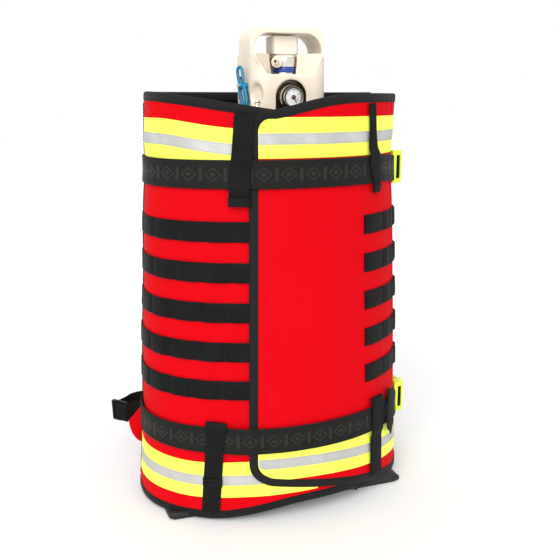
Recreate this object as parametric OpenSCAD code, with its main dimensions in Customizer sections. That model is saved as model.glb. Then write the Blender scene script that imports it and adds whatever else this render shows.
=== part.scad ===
// Oxygen cylinder with an integral valve, in its wraparound backpack carrier.
// Axes: X to the right seen from the front, front towards -Y, +Z up, floor at Z = 0.
// The origin is on the floor, under the widest line of the carrier.

/* [Carrier] */
// Half width of the carrier at the rim
top_half_w = 162; // [156:1:168]
// Half width of the carrier at the floor
base_half_w = 186; // [180:1:190]
// How far the front bulges forward at the rim
top_front = 110; // [106:1:114]
// How far the front bulges forward at the floor
base_front = 126; // [122:1:130]
// How far the back reaches behind the widest line at the rim
top_back = 80; // [78:1:84]
// How far the back reaches behind the widest line at the floor
base_back = 88; // [84:1:92]
// Height of the rim
rim_h = 543; // [540:1:546]
// How much the rim dips where the two front panels meet
rim_dip = 21; // [16:1:24]

/* [Webbing] */
// Width of the webbing rows and of the keepers
webbing_w = 25; // [23:1:26]
// Height of the top edge of the highest row
row_top = 392; // [388:1:396]
// Distance from one row to the next
row_pitch = 50; // [48:1:52]
// Width of the two belts
belt_w = 34.5; // [33:0.5:36]
// Height of the middle of the upper belt
upper_belt_z = 448.5; // [446:0.5:451]
// Height of the middle of the lower belt
lower_belt_z = 112.5; // [110:0.5:115]
// Width of the reflective tape
tape_w = 48; // [46:1:49]
// Width of the edge binding
binding_w = 11; // [10:0.5:12]

/* [Cylinder] */
// Outer diameter of the gas cylinder
shell_d = 140; // [136:1:140]
// Overall height of the cylinder with its guard, above the floor
guard_top = 623; // [621:0.5:625]
// Distance of the cylinder axis to the right of the origin
axis_x = 10.8; // [8:0.2:13]
// Distance of the cylinder axis behind the origin
axis_y = -10; // [-12:1:-8]
// Width of the valve guard
guard_w = 99; // [97:1:101]
// Depth of the valve guard
guard_d = 92; // [90:1:94]

/* [Back] */
// Width of a shoulder strap
strap_w = 62; // [54:1:66]
// How far a shoulder strap stands out behind the back panel
strap_bow = 66; // [60:1:70]

/* [Hidden] */
row_count = 5;

fabric_t = 3;
gap = 0.3;
seam_gap = 0.6;
back_n = 3;
back_edge = 15;
back_rim = rim_h + 2;
rim_slope = 26;
rim_low_at = 252;
rim_spread = 26;
pad_t = 10;
flap_edge = 249;
flap_lift = 4.2;
tape_t = 0.5;
flap_top = flap_lift - gap - tape_t;
flap_low = flap_top - fabric_t;
wrap_end = 300;
corner_r = 30;
tread_t = 1.6;
knob_w = 34.5;
knob_x = 2.3;
knob_low = 587;
knob_foot = 4;
knob_high = 614;
spindle_d = 10;
running_gap = 0.05;
gauge_x = 5;
gauge_z = 538;
needle_pin_d = 1.6;
strap_z = 552;
strap_y = -20;
prong_pin_d = 3;

// Wall of the carrier: an ellipse at the front, flatter at the back, wider at the floor.
// A place on it is an angle, anticlockwise from the right, a height and an outward offset.
function grow(low, high, z) = low + (high - low) * z / rim_h;
function half_w(z) = grow(base_half_w, top_half_w, z);
function half_d(a, z) = sin(a) < 0 ? grow(base_front, top_front, z) : grow(base_back, top_back, z);
function power(a) = sin(a) < 0 ? 2 : back_n;
function signed_power(v, p) = sign(v) * pow(abs(v), p);
function wall_dir(a, z) = let (
        e = 2 - 2 / power(a),
        v = [signed_power(cos(a), e) / half_w(z), signed_power(sin(a), e) / half_d(a, z)])
    v / norm(v);
function wall(a, z, out) = let (
        e = 2 / power(a),
        p = [half_w(z) * signed_power(cos(a), e), half_d(a, z) * signed_power(sin(a), e)]
            + out * wall_dir(a, z))
    [p.x, p.y, z];
function speed(a, z) = norm(wall(a + 0.5, z, 0) - wall(a - 0.5, z, 0));
function smooth(x) = let (c = max(0, min(1, x))) c * c * (3 - 2 * c);
function steps(low, high, count) = [for (i = [0 : count]) low + (high - low) * i / count];

// Edges of the panels, as heights that depend on the angle
function rim(a) = a < 180 - back_edge ? back_rim
    : max(back_rim - rim_slope * (1 + cos(a)),
        rim_h - rim_dip * exp(-pow((a - rim_low_at) / rim_spread, 2)));
function left_hem(a) = 3 + 17 * smooth((a - 230) / 45);
function flap_hem(a) = 9 + 42 * (1 - max(0, min(1, (a - 255) / 75)));
function from_edge(a) = (a - flap_edge) * speed(a, 300);
// How far the red panel stops short of the flap's own edge, inside the rounded binding
function panel_inset(a) = let (d = corner_r - from_edge(a), r = corner_r - binding_w - seam_gap)
    d > 0 ? corner_r - sqrt(pow(r, 2) - pow(min(d, r), 2)) : corner_r - r;
function lift(a) = flap_lift * smooth((a - 236) / 11);

// A solid along stations, each of them four points round one cross-section
module loft(stations) {
    last = len(stations) - 1;
    sides = [for (i = [0 : last - 1], j = [0 : 3])
        let (k = (j + 1) % 4, p = 4 * i + j, q = 4 * i + k)
        each [[p, p + 4, q + 4], [p, q + 4, q]]];
    polyhedron(
        points = [for (s = stations) each s],
        faces = concat(sides, [[0, 1, 2, 3]], [[for (j = [3 : -1 : 0]) 4 * last + j]]));
}

// A piece of the wall between two heights and two offsets
function panel_station(a, low, high, inner, outer) =
    [wall(a, low, inner), wall(a, high, inner), wall(a, high, outer), wall(a, low, outer)];

// A strip of webbing along a path of [angle, height] points
function aside(path, i, d) = let (
        p = path[i],
        q = path[max(i - 1, 0)],
        r = path[min(i + 1, len(path) - 1)],
        v = speed(p.x, p.y),
        along = [(r.x - q.x) * v, r.y - q.y] / norm([(r.x - q.x) * v, r.y - q.y]))
    [p.x - d * along.y / v, p.y + d * along.x];
function on_wall(p, out, riding) = wall(p.x, p.y, out + (riding ? lift(p.x) : 0));
module strip(path, w, inner, outer, riding = false, end_w = 0) {
    last = len(path) - 1;
    loft([for (i = [0 : last])
        let (
            half = (end_w > 0 ? w + (end_w - w) * i / last : w) / 2,
            low = aside(path, i, -half),
            high = aside(path, i, half))
        [on_wall(low, inner, riding), on_wall(high, inner, riding),
         on_wall(high, outer, riding), on_wall(low, outer, riding)]]);
}
function level_path(from, to, z, count = 24) = [for (a = steps(from, to, count)) [a, z]];

// A flat strap through space: its width lies along a fixed direction, away from which it may
// be twisted at its start
module ribbon(path, across, w, t, twist = 0) {
    last = len(path) - 1;
    loft([for (i = [0 : last])
        let (
            v = path[min(i + 1, last)] - path[max(i - 1, 0)],
            flat = cross(v, across) / norm(cross(v, across)),
            turn = twist * max(0, 1 - pow(1.2 * i / last, 3)),
            n = flat * cos(turn) - across * sin(turn),
            s = (across * cos(turn) + flat * sin(turn)) * w / 2)
        [path[i] - s - n * t / 2, path[i] + s - n * t / 2,
         path[i] + s + n * t / 2, path[i] - s + n * t / 2]]);
}

// A rounded rectangle as a polygon, with true arcs of short sides
function round_rect(w, d, r, count = 8) =
    [for (c = [[1, 1, 0], [-1, 1, 90], [-1, -1, 180], [1, -1, 270]], i = [0 : count])
        let (a = c.z + 90 * i / count)
        [c.x * (w / 2 - r) + r * cos(a), c.y * (d / 2 - r) + r * sin(a)]];

module at_axis() {
    translate([axis_x, axis_y, 0]) children();
}

// ---- Carrier panels ----

// A flat sheet with corners that stick out at the sides, and the floor of the compartment on it
sheet_w = 336;
sheet_d = 172;
sheet_x = 1.5;
sheet_t = 2.4;
floor_t = 9;
floor_inset = 14;
module base_panel() color([0.12, 0.12, 0.12]) {
    translate([sheet_x, 0, 0]) linear_extrude(sheet_t) polygon(round_rect(sheet_w, sheet_d, 8));
    translate([0, 0, sheet_t]) linear_extrude(floor_t)
        polygon([for (a = steps(0, 355, 71))
            let (p = wall(a, sheet_t + floor_t, -floor_inset)) [p.x, p.y]]);
}

module back_panel() color([0.8, 0.05, 0.1])
    loft([for (a = steps(back_edge, 180 - back_edge, 30))
        panel_station(a, 4, back_rim - binding_w - seam_gap, -pad_t, 0)]);

module left_wrap() color([0.85, 0.05, 0.12])
    loft([for (a = steps(180 - back_edge + 0.2, wrap_end, 40))
        panel_station(a, left_hem(a) + binding_w + seam_gap, rim(a) - binding_w - seam_gap,
            -fabric_t, 0)]);

module front_flap() color([0.9, 0.05, 0.12])
    loft([for (a = steps(flap_edge + 4.4, 360 + back_edge - 0.2, 46))
        panel_station(a,
            flap_hem(a) + panel_inset(a), rim(a) - panel_inset(a),
            flap_low, flap_low + fabric_t)]);

// ---- Bindings ----

// The rim of the back panel and of the left panel, as far as the panels' overlap
module rim_binding() color([0.15, 0.15, 0.15])
    strip([for (a = steps(back_edge, wrap_end, 64)) [a, rim(a) - binding_w / 2]],
        binding_w, -fabric_t, 0.2);

module hem_binding() color([0.15, 0.15, 0.15])
    strip([for (a = steps(166, wrap_end, 36)) [a, left_hem(a) + binding_w / 2]],
        binding_w, -fabric_t, 0.2);

// One binding runs along the flap's hem, its free edge and its rim
function flap_corner(from, top) = [for (i = [0 : 8])
    let (
        t = from + 90 * i / 8,
        r = corner_r - binding_w / 2,
        s = corner_r - r * cos(t),
        a = flap_edge + s / speed(flap_edge + 6, 300),
        edge = top ? rim(a) - corner_r : flap_hem(a) + corner_r)
    [a, edge + r * sin(t)]];
module flap_binding() color([0.15, 0.15, 0.15])
    strip(concat(
        [for (a = steps(360 + back_edge - 1, flap_edge + 13, 30)) [a, flap_hem(a) + binding_w / 2]],
        flap_corner(-90, false),
        [for (z = steps(100, 470, 5)) [flap_edge + binding_w / 2 / speed(flap_edge, z), z]],
        flap_corner(0, true),
        [for (a = steps(flap_edge + 13, 360 + back_edge - 1, 30)) [a, rim(a) - binding_w / 2]]),
        binding_w, flap_low, flap_lift);

// ---- Webbing and tape on the panels ----

module webbing_row_left(i) color([0.18, 0.18, 0.18])
    strip(level_path(170, flap_edge - 1, row_top - webbing_w / 2 - row_pitch * (i - 1)),
        webbing_w, gap, gap + tread_t);

module webbing_row_right(i) color([0.18, 0.18, 0.18])
    strip(level_path(303, 368, row_top - webbing_w / 2 - row_pitch * (i - 1)),
        webbing_w, flap_lift - gap, flap_lift - gap + tread_t);

// Heights of the middle of each tape; the lower ones fall and rise along the panels
tape_high = 489.5;
flap_tape_high = 491;
tape_low = 56;
flap_tape_low = 80;
module tape_upper_left() color([0.9, 1, 0.3])
    strip([for (a = steps(168, flap_edge - 1, 24)) [a, tape_high - 12 * smooth((a - 198) / 54)]],
        tape_w, gap, gap + tape_t);

module tape_upper_flap() color([0.9, 1, 0.3])
    loft([for (a = steps(flap_edge + 4.4, 372, 36))
        panel_station(a, flap_tape_high - tape_w / 2,
            min(flap_tape_high + tape_w / 2, rim(a) - panel_inset(a)),
            flap_top + gap, flap_top + gap + tape_t)]);

module tape_lower_left() color([0.9, 1, 0.3])
    strip([for (a = steps(168, 275, 30)) [a, tape_low + 3 * smooth((a - 220) / 30)]],
        tape_w, 0.12, 0.25);

module tape_lower_flap() color([0.9, 1, 0.3])
    loft([for (a = steps(flap_edge + 4.4, 372, 36))
        let (middle = flap_tape_low - 22 * smooth((a - 262) / 100))
        panel_station(a, max(middle - tape_w / 2, flap_hem(a) + panel_inset(a)),
            middle + tape_w / 2, flap_top + gap, flap_top + gap + tape_t)]);

// The belts fall a little towards their buckles
upper_fall = 4;
lower_fall = 8;
upper_buckle_z = upper_belt_z - upper_fall;
lower_buckle_z = lower_belt_z - lower_fall;
belt_inner = 2.2;
belt_outer = 4;
module belt(z, fall) color([0.13, 0.13, 0.13])
    strip([for (a = steps(168, 343, 48)) [a, z - fall * smooth((a - 320) / 22)]],
        belt_w, belt_inner, belt_outer, true);

// Short straps over the belts, from one [angle, height] to another; some widen on the way
keeper_t = 1.8;
keeper_out = belt_outer + 0.7;
module keeper(from, to, w, end_w, out = keeper_out) color([0.13, 0.13, 0.13])
    strip([for (i = [0 : 12]) from + (to - from) * i / 12], w, out, out + keeper_t, true, end_w);
module keeper_upper_left() {
    keeper([247, 516], [244.5, 411], webbing_w - 2, webbing_w, keeper_out + 1.1);
}
module keeper_upper_right() {
    keeper([308.8, 528], [311.2, 419], 13, 20);
}
module keeper_lower_left() {
    keeper([236, 135], [233.5, 14], webbing_w, webbing_w);
}
module keeper_lower_right() {
    keeper([310.5, 142], [309.8, 26], webbing_w, webbing_w);
}
module belt_tail() {
    keeper([321, 141], [322, 76], 20, 12);
}

// ---- Back: pads, shoulder straps, handle ----

pad_low = 60;
pad_high = 470;
pad_out = 9;
module back_pads() color([0.2, 0.2, 0.2])
    for (from = [57, 97])
        loft([for (a = steps(from, from + 26, 10)) panel_station(a, pad_low, pad_high, gap, pad_out)]);

strap_start_x = 42;
strap_end_x = 108;
strap_root_y = 88;
strap_high = 490;
strap_low = 110;
strap_pad_t = 12;
function strap_path(side) = [for (u = steps(0, 1, 24))
    [side * (strap_start_x + (strap_end_x - strap_start_x) * smooth(u)),
     strap_root_y + strap_bow * pow(sin(170 * u), 0.8), strap_high + (strap_low - strap_high) * u]];
module shoulder_strap(side) color([0.15, 0.15, 0.15])
    ribbon(strap_path(side), [1, 0, 0], strap_w, strap_pad_t);

// From the foot of the strap round to the ladder lock beside the carrier. On the right
// the lock sits lower, clear of the buckle's travel.
lock_turn = 45;
lock_z = 105;
lock_drop = 67;
lock_w = 26;
lock_h = 30;
lock_t = 6;
slot_x = 7;
slot_w = 4;
adjuster_reach = 105;
adjuster_forward = 50.5;
adjuster_root_y = 104;
adjuster_root_z = 98;
adjuster_t = 1.8;
adjuster_twist = 70;
function lock_height(side) = side > 0 ? lock_z - lock_drop : lock_z;
function adjuster_point(side, t) =
    [side * (strap_end_x + adjuster_reach * t), adjuster_root_y - adjuster_forward * t * t,
     adjuster_root_z + (lock_height(side) - adjuster_root_z) * sin(90 * t)];
module adjuster_webbing(side) color([0.14, 0.14, 0.14])
    ribbon([for (t = steps(0.03, 1.03, 16)) adjuster_point(side, t)],
        [0, 0, 1], webbing_w, adjuster_t, -side * adjuster_twist);

module ladder_lock() {
    difference() {
        cube([lock_w, lock_t, lock_h], center = true);
        for (x = [-slot_x, slot_x])
            translate([x, 0, 0]) cube([slot_w, 3 * lock_t, lock_h - 4], center = true);
    }
}
module ladder_locks() color([0.1, 0.1, 0.1])
    for (side = [-1, 1])
        translate(adjuster_point(side, 1)) rotate([0, 0, side * lock_turn])
            translate([-side * slot_x, 0, 0]) ladder_lock();

// Red triangular tabs, sewn to the side seams, that hold the lower webbing
tab_y = 38;
tab_angle = 15.8;
tab_reach = 17;
tab_h = 62;
tab_tip = 31;
tab_tip_h = 7;
module side_tabs() color([0.85, 0.05, 0.12])
    for (side = [-1, 1])
        let (
            low = max(2, lock_height(side) - 47),
            root = [for (z = [low, low + tab_h]) [wall(tab_angle, z, gap).x, z]])
        translate([0, tab_y, 0]) rotate([90, 0, 0])
            linear_extrude(fabric_t, center = true) scale([side, 1])
                polygon([root[0], root[0] + [tab_reach, tab_tip],
                    root[0] + [tab_reach, tab_tip + tab_tip_h], root[1]]);

handle_half_w = 55;
handle_bow = 30;
handle_root_y = 83.5;
handle_z = 512;
module grab_handle() color([0.13, 0.13, 0.13])
    ribbon([for (u = steps(0, 1, 16))
        [handle_half_w * (2 * u - 1), handle_root_y + handle_bow * sin(180 * u), handle_z]],
        [0, 0, 1], webbing_w, 4);

// ---- Inside ----

// Straps that hold the cylinder against the back panel
inner_strap_w = 30;
module inner_straps() color([0.12, 0.12, 0.12])
    at_axis() for (z = [150, 380])
        translate([0, 0, z]) difference() {
            cylinder(h = inner_strap_w, d = shell_d + 6, $fn = 96);
            translate([0, 0, -1]) cylinder(h = inner_strap_w + 2, d = shell_d + 2, $fn = 96);
        }

// ---- Buckles on the right side ----

// Each stands off the wall at the right: x is outwards and y backwards from there
module at_buckle(z) {
    translate([half_w(z) - 2.2, 0, z]) children();
}

body_h = 44;
body_out = 21.5;
prong_x = 12.5;
prong_t = 6;
prong_z = 14;
prong_y = -11;
prong_bore = prong_pin_d + 2 * running_gap;
slot_low = 13;
slot_h = 32;
module upright(h) {
    translate([0, 0, -h / 2]) linear_extrude(h) children();
}

// The front half: its body follows the wall inwards, and a rail runs back into the receiver
module buckle_tongue() color([0.9, 1, 0.3]) {
    difference() {
        upright(body_h) polygon(
            [[3.6, -28], [17.5, -28], [body_out, -13], [body_out, -10], [7.6, -10]]);
        upright(slot_h) polygon([[9.2, -29], [14.7, -29], [17.4, -17], [12.4, -17]]);
        for (side = [-1, 1])
            translate([prong_x + prong_t / 2, prong_y + 1, side * prong_z])
                cube([9.2, 9, 9], center = true);
    }
    translate([slot_low, -12, -6]) cube([5, 32, 12]);
    for (side = [-1, 1])
        translate([10.5, prong_y, side * prong_z]) rotate([0, 90, 0])
            cylinder(h = body_out - 10.5, d = prong_pin_d, $fn = 32);
}

// A springy arm with a barb that shows at the side of the receiver
module prong(side) color([0.9, 1, 0.3]) {
    difference() {
        union() {
            translate([prong_x, prong_y, side * prong_z]) rotate([0, 90, 0])
                cylinder(h = prong_t, d = 6, $fn = 32);
            translate([prong_x, prong_y, side * prong_z - 2]) cube([prong_t, 29, 4]);
            translate([prong_x, 5, side * (prong_z + 4) - 3]) cube([prong_t, 12, 6]);
        }
        translate([prong_x - 2, prong_y, side * prong_z]) rotate([0, 90, 0])
            cylinder(h = prong_t + 4, d = prong_bore, $fn = 32);
    }
}

// The back half: two plates over the prongs, and a bar with a slot for the webbing
plate_t = 2.5;
module buckle_receiver() color([0.9, 1, 0.3]) {
    difference() {
        union() {
            for (x = [body_out - 12, body_out - plate_t])
                translate([x, -4.5, -19]) cube([plate_t, 32, 38]);
            translate([body_out - 12, 24, -body_h / 2]) cube([12, 16, body_h]);
        }
        translate([slot_low, 30, -slot_h / 2]) cube([4, 12, slot_h]);
    }
}

module buckle_anchors() color([0.13, 0.13, 0.13])
    for (z = [upper_buckle_z, lower_buckle_z])
        strip([for (a = steps(-4, 22, 12)) [a, z]], belt_w - 4, flap_lift + 0.6, flap_lift + 2.2);

// ---- Gas cylinder ----

shell_low = 12;
shell_t = 4;
shoulder_z = 438;
dome_h = 46;
neck_r = 19;
neck_bore_r = 12;
foot_r = 16;
module cylinder_shell() color([0.93, 0.93, 0.92])
    at_axis() rotate_extrude($fn = 96)
        polygon(concat(
            [[0, shell_low + 6], [40, shell_low]],
            [for (a = steps(-90, 0, 8))
                [shell_d / 2 - foot_r + foot_r * cos(a), shell_low + foot_r + foot_r * sin(a)]],
            [for (a = steps(0, acos(neck_r * 2 / shell_d), 16))
                [shell_d / 2 * cos(a), shoulder_z + dome_h * sin(a)]],
            [[neck_r, regulator_low], [neck_bore_r, regulator_low]],
            [for (a = steps(acos(neck_bore_r * 2 / shell_d), 0, 16))
                [(shell_d / 2 - shell_t) * cos(a), shoulder_z + (dome_h - 2 * shell_t) * sin(a)]],
            [for (a = steps(0, -90, 8))
                [shell_d / 2 - foot_r + (foot_r - shell_t) * cos(a),
                 shell_low + foot_r + (foot_r - shell_t) * sin(a)]],
            [[40, shell_low + shell_t], [0, shell_low + 6 + shell_t]]));

regulator_low = shoulder_z + dome_h + 6;
ring_low = 568.5;
ring_h = 7;
ring_r = 14.5;
neck_top_r = 10;
column_r = 15;
column_x = 3;
column_y = -8;
module at_column(z) {
    translate([column_x, column_y, z]) children();
}
module regulator_body() color([0.75, 0.75, 0.76])
    at_axis() {
        translate([0, 0, regulator_low]) cylinder(h = 12, r = 22, $fn = 64);
        hull() {
            translate([0, 0, regulator_low + 12]) cylinder(h = 1, r = column_r, $fn = 64);
            at_column(ring_low - 1) cylinder(h = 1, r = column_r - 1, $fn = 64);
        }
        translate([gauge_x, -14, gauge_z]) rotate([90, 0, 0]) cylinder(h = 13, r = 7, $fn = 48);
        at_column(ring_low - 0.1) cylinder(h = ring_h + 0.6, r = neck_top_r, $fn = 48);
        at_column(ring_low + ring_h + 0.4)
            cylinder(h = knob_low - ring_low - ring_h - 0.4, r = column_r, $fn = 64);
    }

module colour_ring() color([0.12, 0.25, 0.65])
    at_axis() at_column(ring_low + 0.2) difference() {
        cylinder(h = ring_h, r = ring_r, $fn = 64);
        translate([0, 0, -1]) cylinder(h = ring_h + 2, r = neck_top_r, $fn = 64);
    }

// Outlet with a flange and three barbs, turned towards the front left
barb_turn = -28;
barb_root = 6.4;
module hose_barb() color([0.9, 0.87, 0.8])
    at_axis() translate([-6.5, -13, 581.5]) rotate([0, 0, barb_turn]) rotate([90, 0, 0])
        rotate_extrude($fn = 48)
            polygon([[2, barb_root], [4.6, barb_root], [4.6, 10], [7, 10], [7, 13], [4, 13],
                [4, 15], [3.2, 18], [4, 18], [3.2, 21], [4, 21], [3, 25], [2, 25]]);

// ---- Guard round the valve ----

wall_t = 3.2;
guard_low = 475;
guard_corner = 20;
hoop_corner = 16;
hoop_front = -32;
hoop_back = 22;
hoop_half = 45.4;
arch_r = 22;
handle_low = 592;
handle_high = 616;
function arc(x, z, r, from, to) = [for (a = steps(from, to, 8)) [x + r * cos(a), z + r * sin(a)]];
function handle_outline() = concat(
    [[-hoop_half, handle_low], [hoop_half, handle_low]],
    arc(hoop_half - arch_r, handle_high - arch_r, arch_r, 0, 90),
    arc(arch_r - hoop_half, handle_high - arch_r, arch_r, 90, 180));
window_r = 20;
window_z = 539;
function window_outline() = concat(
    [[-window_r, guard_low - 1], [window_r, guard_low - 1]],
    [for (a = steps(0, 180, 16)) [window_r * cos(a), window_z + window_r * sin(a)]]);

module along_y(from, to) {
    translate([0, to, 0]) rotate([90, 0, 0]) linear_extrude(to - from) children();
}

// Scoop from the front wall back to the outlet
dish = [[-52, 593], [-31, 566], [26, 566], [46, 593]];
dish_back = [[-20, 593], [-17, 566], [13, 566], [15, 593]];
dish_t = 2.4;
module dish_solid(grow_by) {
    hull() {
        along_y(-guard_d / 2 - 1, -guard_d / 2 + 1) offset(delta = grow_by) polygon(dish);
        along_y(-20, -19) offset(delta = grow_by) polygon(dish_back);
    }
}

// Upright block with rounded corners, drawn in by a wall's thickness
module guard_block(inset, top) {
    intersection() {
        translate([0, 0, guard_low - inset]) linear_extrude(top - guard_low + inset)
            polygon(round_rect(guard_w - 2 * inset, guard_d - 2 * inset, guard_corner - inset));
        along_y(-guard_d, guard_d) polygon(concat(
            [[inset - guard_w / 2, guard_low - 5], [guard_w / 2 - inset, guard_low - 5]],
            arc(guard_w / 2 - hoop_corner, guard_top - hoop_corner, hoop_corner - inset, 0, 90),
            arc(hoop_corner - guard_w / 2, guard_top - hoop_corner, hoop_corner - inset, 90, 180)));
    }
}

// A box round the valve, with a handle like a hoop standing on it
module valve_guard() color([0.95, 0.92, 0.85])
    at_axis() {
        difference() {
            guard_block(0, guard_top);
            for (side = [-1, 1])
                translate([-guard_w, side > 0 ? hoop_back : hoop_front - guard_d, handle_low])
                    cube([2 * guard_w, guard_d, 50]);
            guard_block(wall_t, handle_low - wall_t);
            translate([-hoop_half, hoop_front + wall_t, handle_low - wall_t - 1])
                cube([2 * hoop_half, hoop_back - hoop_front - wall_t + 2, wall_t + 2]);
            along_y(-guard_d, guard_d) polygon(handle_outline());
            dish_solid(0);
            along_y(-guard_d, 0) polygon(window_outline());
        }
        difference() {
            intersection() {
                dish_solid(dish_t);
                translate([-45, -guard_d / 2 + wall_t - 0.2, 560]) cube([90, 30, handle_low - 560]);
            }
            dish_solid(0);
            at_column(handle_low - 40) cylinder(h = 40, r = column_r + 2 * gap, $fn = 64);
        }
    }

// Four screws, and the headed pin on which the bed strap swings
screw_z = 486;
pivot_d = 4;
hub_h = 11;
module guard_screws() color([0.7, 0.7, 0.72])
    at_axis() {
        for (side = [-1, 1], y = [-18, 18])
            translate([side * guard_w / 2, y, screw_z]) rotate([0, side * 90, 0])
                cylinder(h = 1.6, d = 7, $fn = 32);
        translate([-guard_w / 2, strap_y, strap_z]) rotate([0, -90, 0]) {
            cylinder(h = hub_h + 1, d = pivot_d, $fn = 32);
            translate([0, 0, hub_h + 0.9]) cylinder(h = 1.4, d = 7, $fn = 32);
        }
    }

// ---- Flow knob ----

module at_knob(z) {
    at_axis() translate([knob_x, 0, z]) children();
}

spindle_h = 16;
module flow_spindle() color([0.7, 0.7, 0.72])
    at_knob(knob_low) cylinder(h = spindle_h, d = spindle_d, $fn = 48);

module flow_knob() color([0.95, 0.93, 0.87])
    difference() {
        union() {
            at_knob(knob_low + knob_foot) linear_extrude(knob_high - knob_low - knob_foot)
                polygon(round_rect(knob_w, knob_w, 5));
            at_knob(knob_low + gap) linear_extrude(knob_foot - gap)
                polygon(round_rect(knob_w - 5, knob_w - 5, 5));
        }
        at_knob(knob_low - 1) cylinder(h = spindle_h + 1.5, d = spindle_d + 2 * running_gap, $fn = 48);
    }

// ---- Pressure gauge, facing the front ----

module at_gauge() {
    at_axis() translate([gauge_x, 0, gauge_z]) rotate([90, 0, 0]) children();
}

// Heights along the gauge's own axis, forwards from the cylinder axis
case_low = 27;
case_high = 41;
dial_r = 11;
module gauge_case() color([0.25, 0.22, 0.2])
    at_gauge() difference() {
        union() {
            translate([0, 0, case_low]) cylinder(h = 8, r = 17, $fn = 96);
            translate([0, 0, case_low + 8]) cylinder(h = case_high - case_low - 8, r = 14.2, $fn = 96);
        }
        translate([0, 0, case_high - 4.5]) cylinder(h = 5, r = dial_r + 0.3, $fn = 96);
    }

module gauge_dial() color([0.97, 0.97, 0.97])
    at_gauge() {
        translate([0, 0, case_high - 4.5]) cylinder(h = 1, r = dial_r, $fn = 96);
        translate([0, 0, case_high - 3.5]) cylinder(h = 1.6, d = needle_pin_d, $fn = 24);
    }

module gauge_needle() color([0.1, 0.1, 0.1])
    at_gauge() translate([0, 0, case_high - 3.3]) difference() {
        union() {
            cylinder(h = 1.1, r = 2.6, $fn = 32);
            rotate([0, 0, 210]) translate([-0.5, -3, 0.2]) cube([1, 11.5, 0.7]);
        }
        translate([0, 0, -1]) cylinder(h = 4, d = needle_pin_d + 2 * running_gap, $fn = 24);
    }

module gauge_lens() color([0.9, 0.95, 0.95, 0.4])
    at_gauge() translate([0, 0, case_high - 1.4]) cylinder(h = 1.2, r = dial_r + 0.3, $fn = 96);

// ---- Strap for hanging the cylinder on a bed, on a pivot in the guard's left wall ----

strap_t = 3.4;
strap_turn = 22;
hub_d = 7.5;
module loop_outline(w, h, r) {
    difference() {
        polygon(round_rect(w, h, w / 2 - 0.1));
        polygon(round_rect(w - 2 * r, h - 2 * r, w / 2 - r - 0.1));
    }
}
module bed_strap() color([0, 0.6, 0.8])
    at_axis() translate([-guard_w / 2 - 0.4, strap_y, strap_z])
        difference() {
            union() {
                translate([-hub_h / 2 - 1, 0, 0]) rotate([0, 0, strap_turn]) rotate([90, 0, 90])
                    translate([0, 0, -strap_t / 2]) linear_extrude(strap_t) {
                        translate([4, 12]) rotate(-12) loop_outline(14, 26, 3);
                        translate([-2, -14]) rotate(-16) loop_outline(17, 32, 4);
                    }
                rotate([0, -90, 0]) cylinder(h = hub_h, d = hub_d, $fn = 32);
            }
            rotate([0, -90, 0]) translate([0, 0, -20])
                cylinder(h = 40, d = pivot_d + 2 * running_gap, $fn = 32);
        }

// ---- Assembly ----

base_panel();
back_panel();
left_wrap();
front_flap();
rim_binding();
flap_binding();
hem_binding();
for (i = [1 : row_count]) {
    webbing_row_left(i);
    webbing_row_right(i);
}
tape_upper_left();
tape_upper_flap();
tape_lower_left();
tape_lower_flap();
belt(upper_belt_z, upper_fall);  // belt_upper
belt(lower_belt_z, lower_fall);  // belt_lower
keeper_upper_left();
keeper_upper_right();
keeper_lower_left();
keeper_lower_right();
belt_tail();
back_pads();
shoulder_strap(-1);  // shoulder_strap_left
shoulder_strap(1);  // shoulder_strap_right
adjuster_webbing(-1);  // adjuster_webbing_left
adjuster_webbing(1);  // adjuster_webbing_right
ladder_locks();
side_tabs();
grab_handle();
inner_straps();
buckle_anchors();
at_buckle(upper_buckle_z) buckle_tongue();  // buckle_tongue_upper
at_buckle(lower_buckle_z) buckle_tongue();  // buckle_tongue_lower
at_buckle(upper_buckle_z) buckle_receiver();  // buckle_receiver_upper
at_buckle(lower_buckle_z) buckle_receiver();  // buckle_receiver_lower
at_buckle(upper_buckle_z) prong(1);  // prong_upper_top
at_buckle(upper_buckle_z) prong(-1);  // prong_upper_bottom
at_buckle(lower_buckle_z) prong(1);  // prong_lower_top
at_buckle(lower_buckle_z) prong(-1);  // prong_lower_bottom
cylinder_shell();
regulator_body();
valve_guard();
guard_screws();
hose_barb();
colour_ring();
flow_spindle();
flow_knob();
gauge_case();
gauge_dial();
gauge_needle();
gauge_lens();
bed_strap();
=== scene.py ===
"""Looks of the oxygen cylinder in its wraparound carrier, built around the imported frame.

Sizes are in millimetres, as in the part's source, and meshes are stored in metres. A place on the carrier's
wall is an angle in degrees, anticlockwise from the right, a height and an outward offset.
"""
import itertools
import math

import bmesh
import bpy
import numpy as np
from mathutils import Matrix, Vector, noise


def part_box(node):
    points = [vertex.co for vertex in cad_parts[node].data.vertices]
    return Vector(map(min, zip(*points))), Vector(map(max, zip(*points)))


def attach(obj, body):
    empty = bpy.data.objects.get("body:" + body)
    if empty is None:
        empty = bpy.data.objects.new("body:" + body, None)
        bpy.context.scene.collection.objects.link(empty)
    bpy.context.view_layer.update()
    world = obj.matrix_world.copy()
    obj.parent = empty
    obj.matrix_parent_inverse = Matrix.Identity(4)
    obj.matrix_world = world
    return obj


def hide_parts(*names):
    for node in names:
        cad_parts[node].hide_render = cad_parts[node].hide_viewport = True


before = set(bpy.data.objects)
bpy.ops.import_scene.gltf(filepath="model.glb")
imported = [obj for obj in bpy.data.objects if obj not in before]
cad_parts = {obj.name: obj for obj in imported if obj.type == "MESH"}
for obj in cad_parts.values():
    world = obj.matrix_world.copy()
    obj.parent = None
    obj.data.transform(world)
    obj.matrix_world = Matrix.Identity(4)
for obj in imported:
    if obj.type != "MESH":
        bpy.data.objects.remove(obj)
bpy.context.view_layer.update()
MM = 0.001
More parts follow.
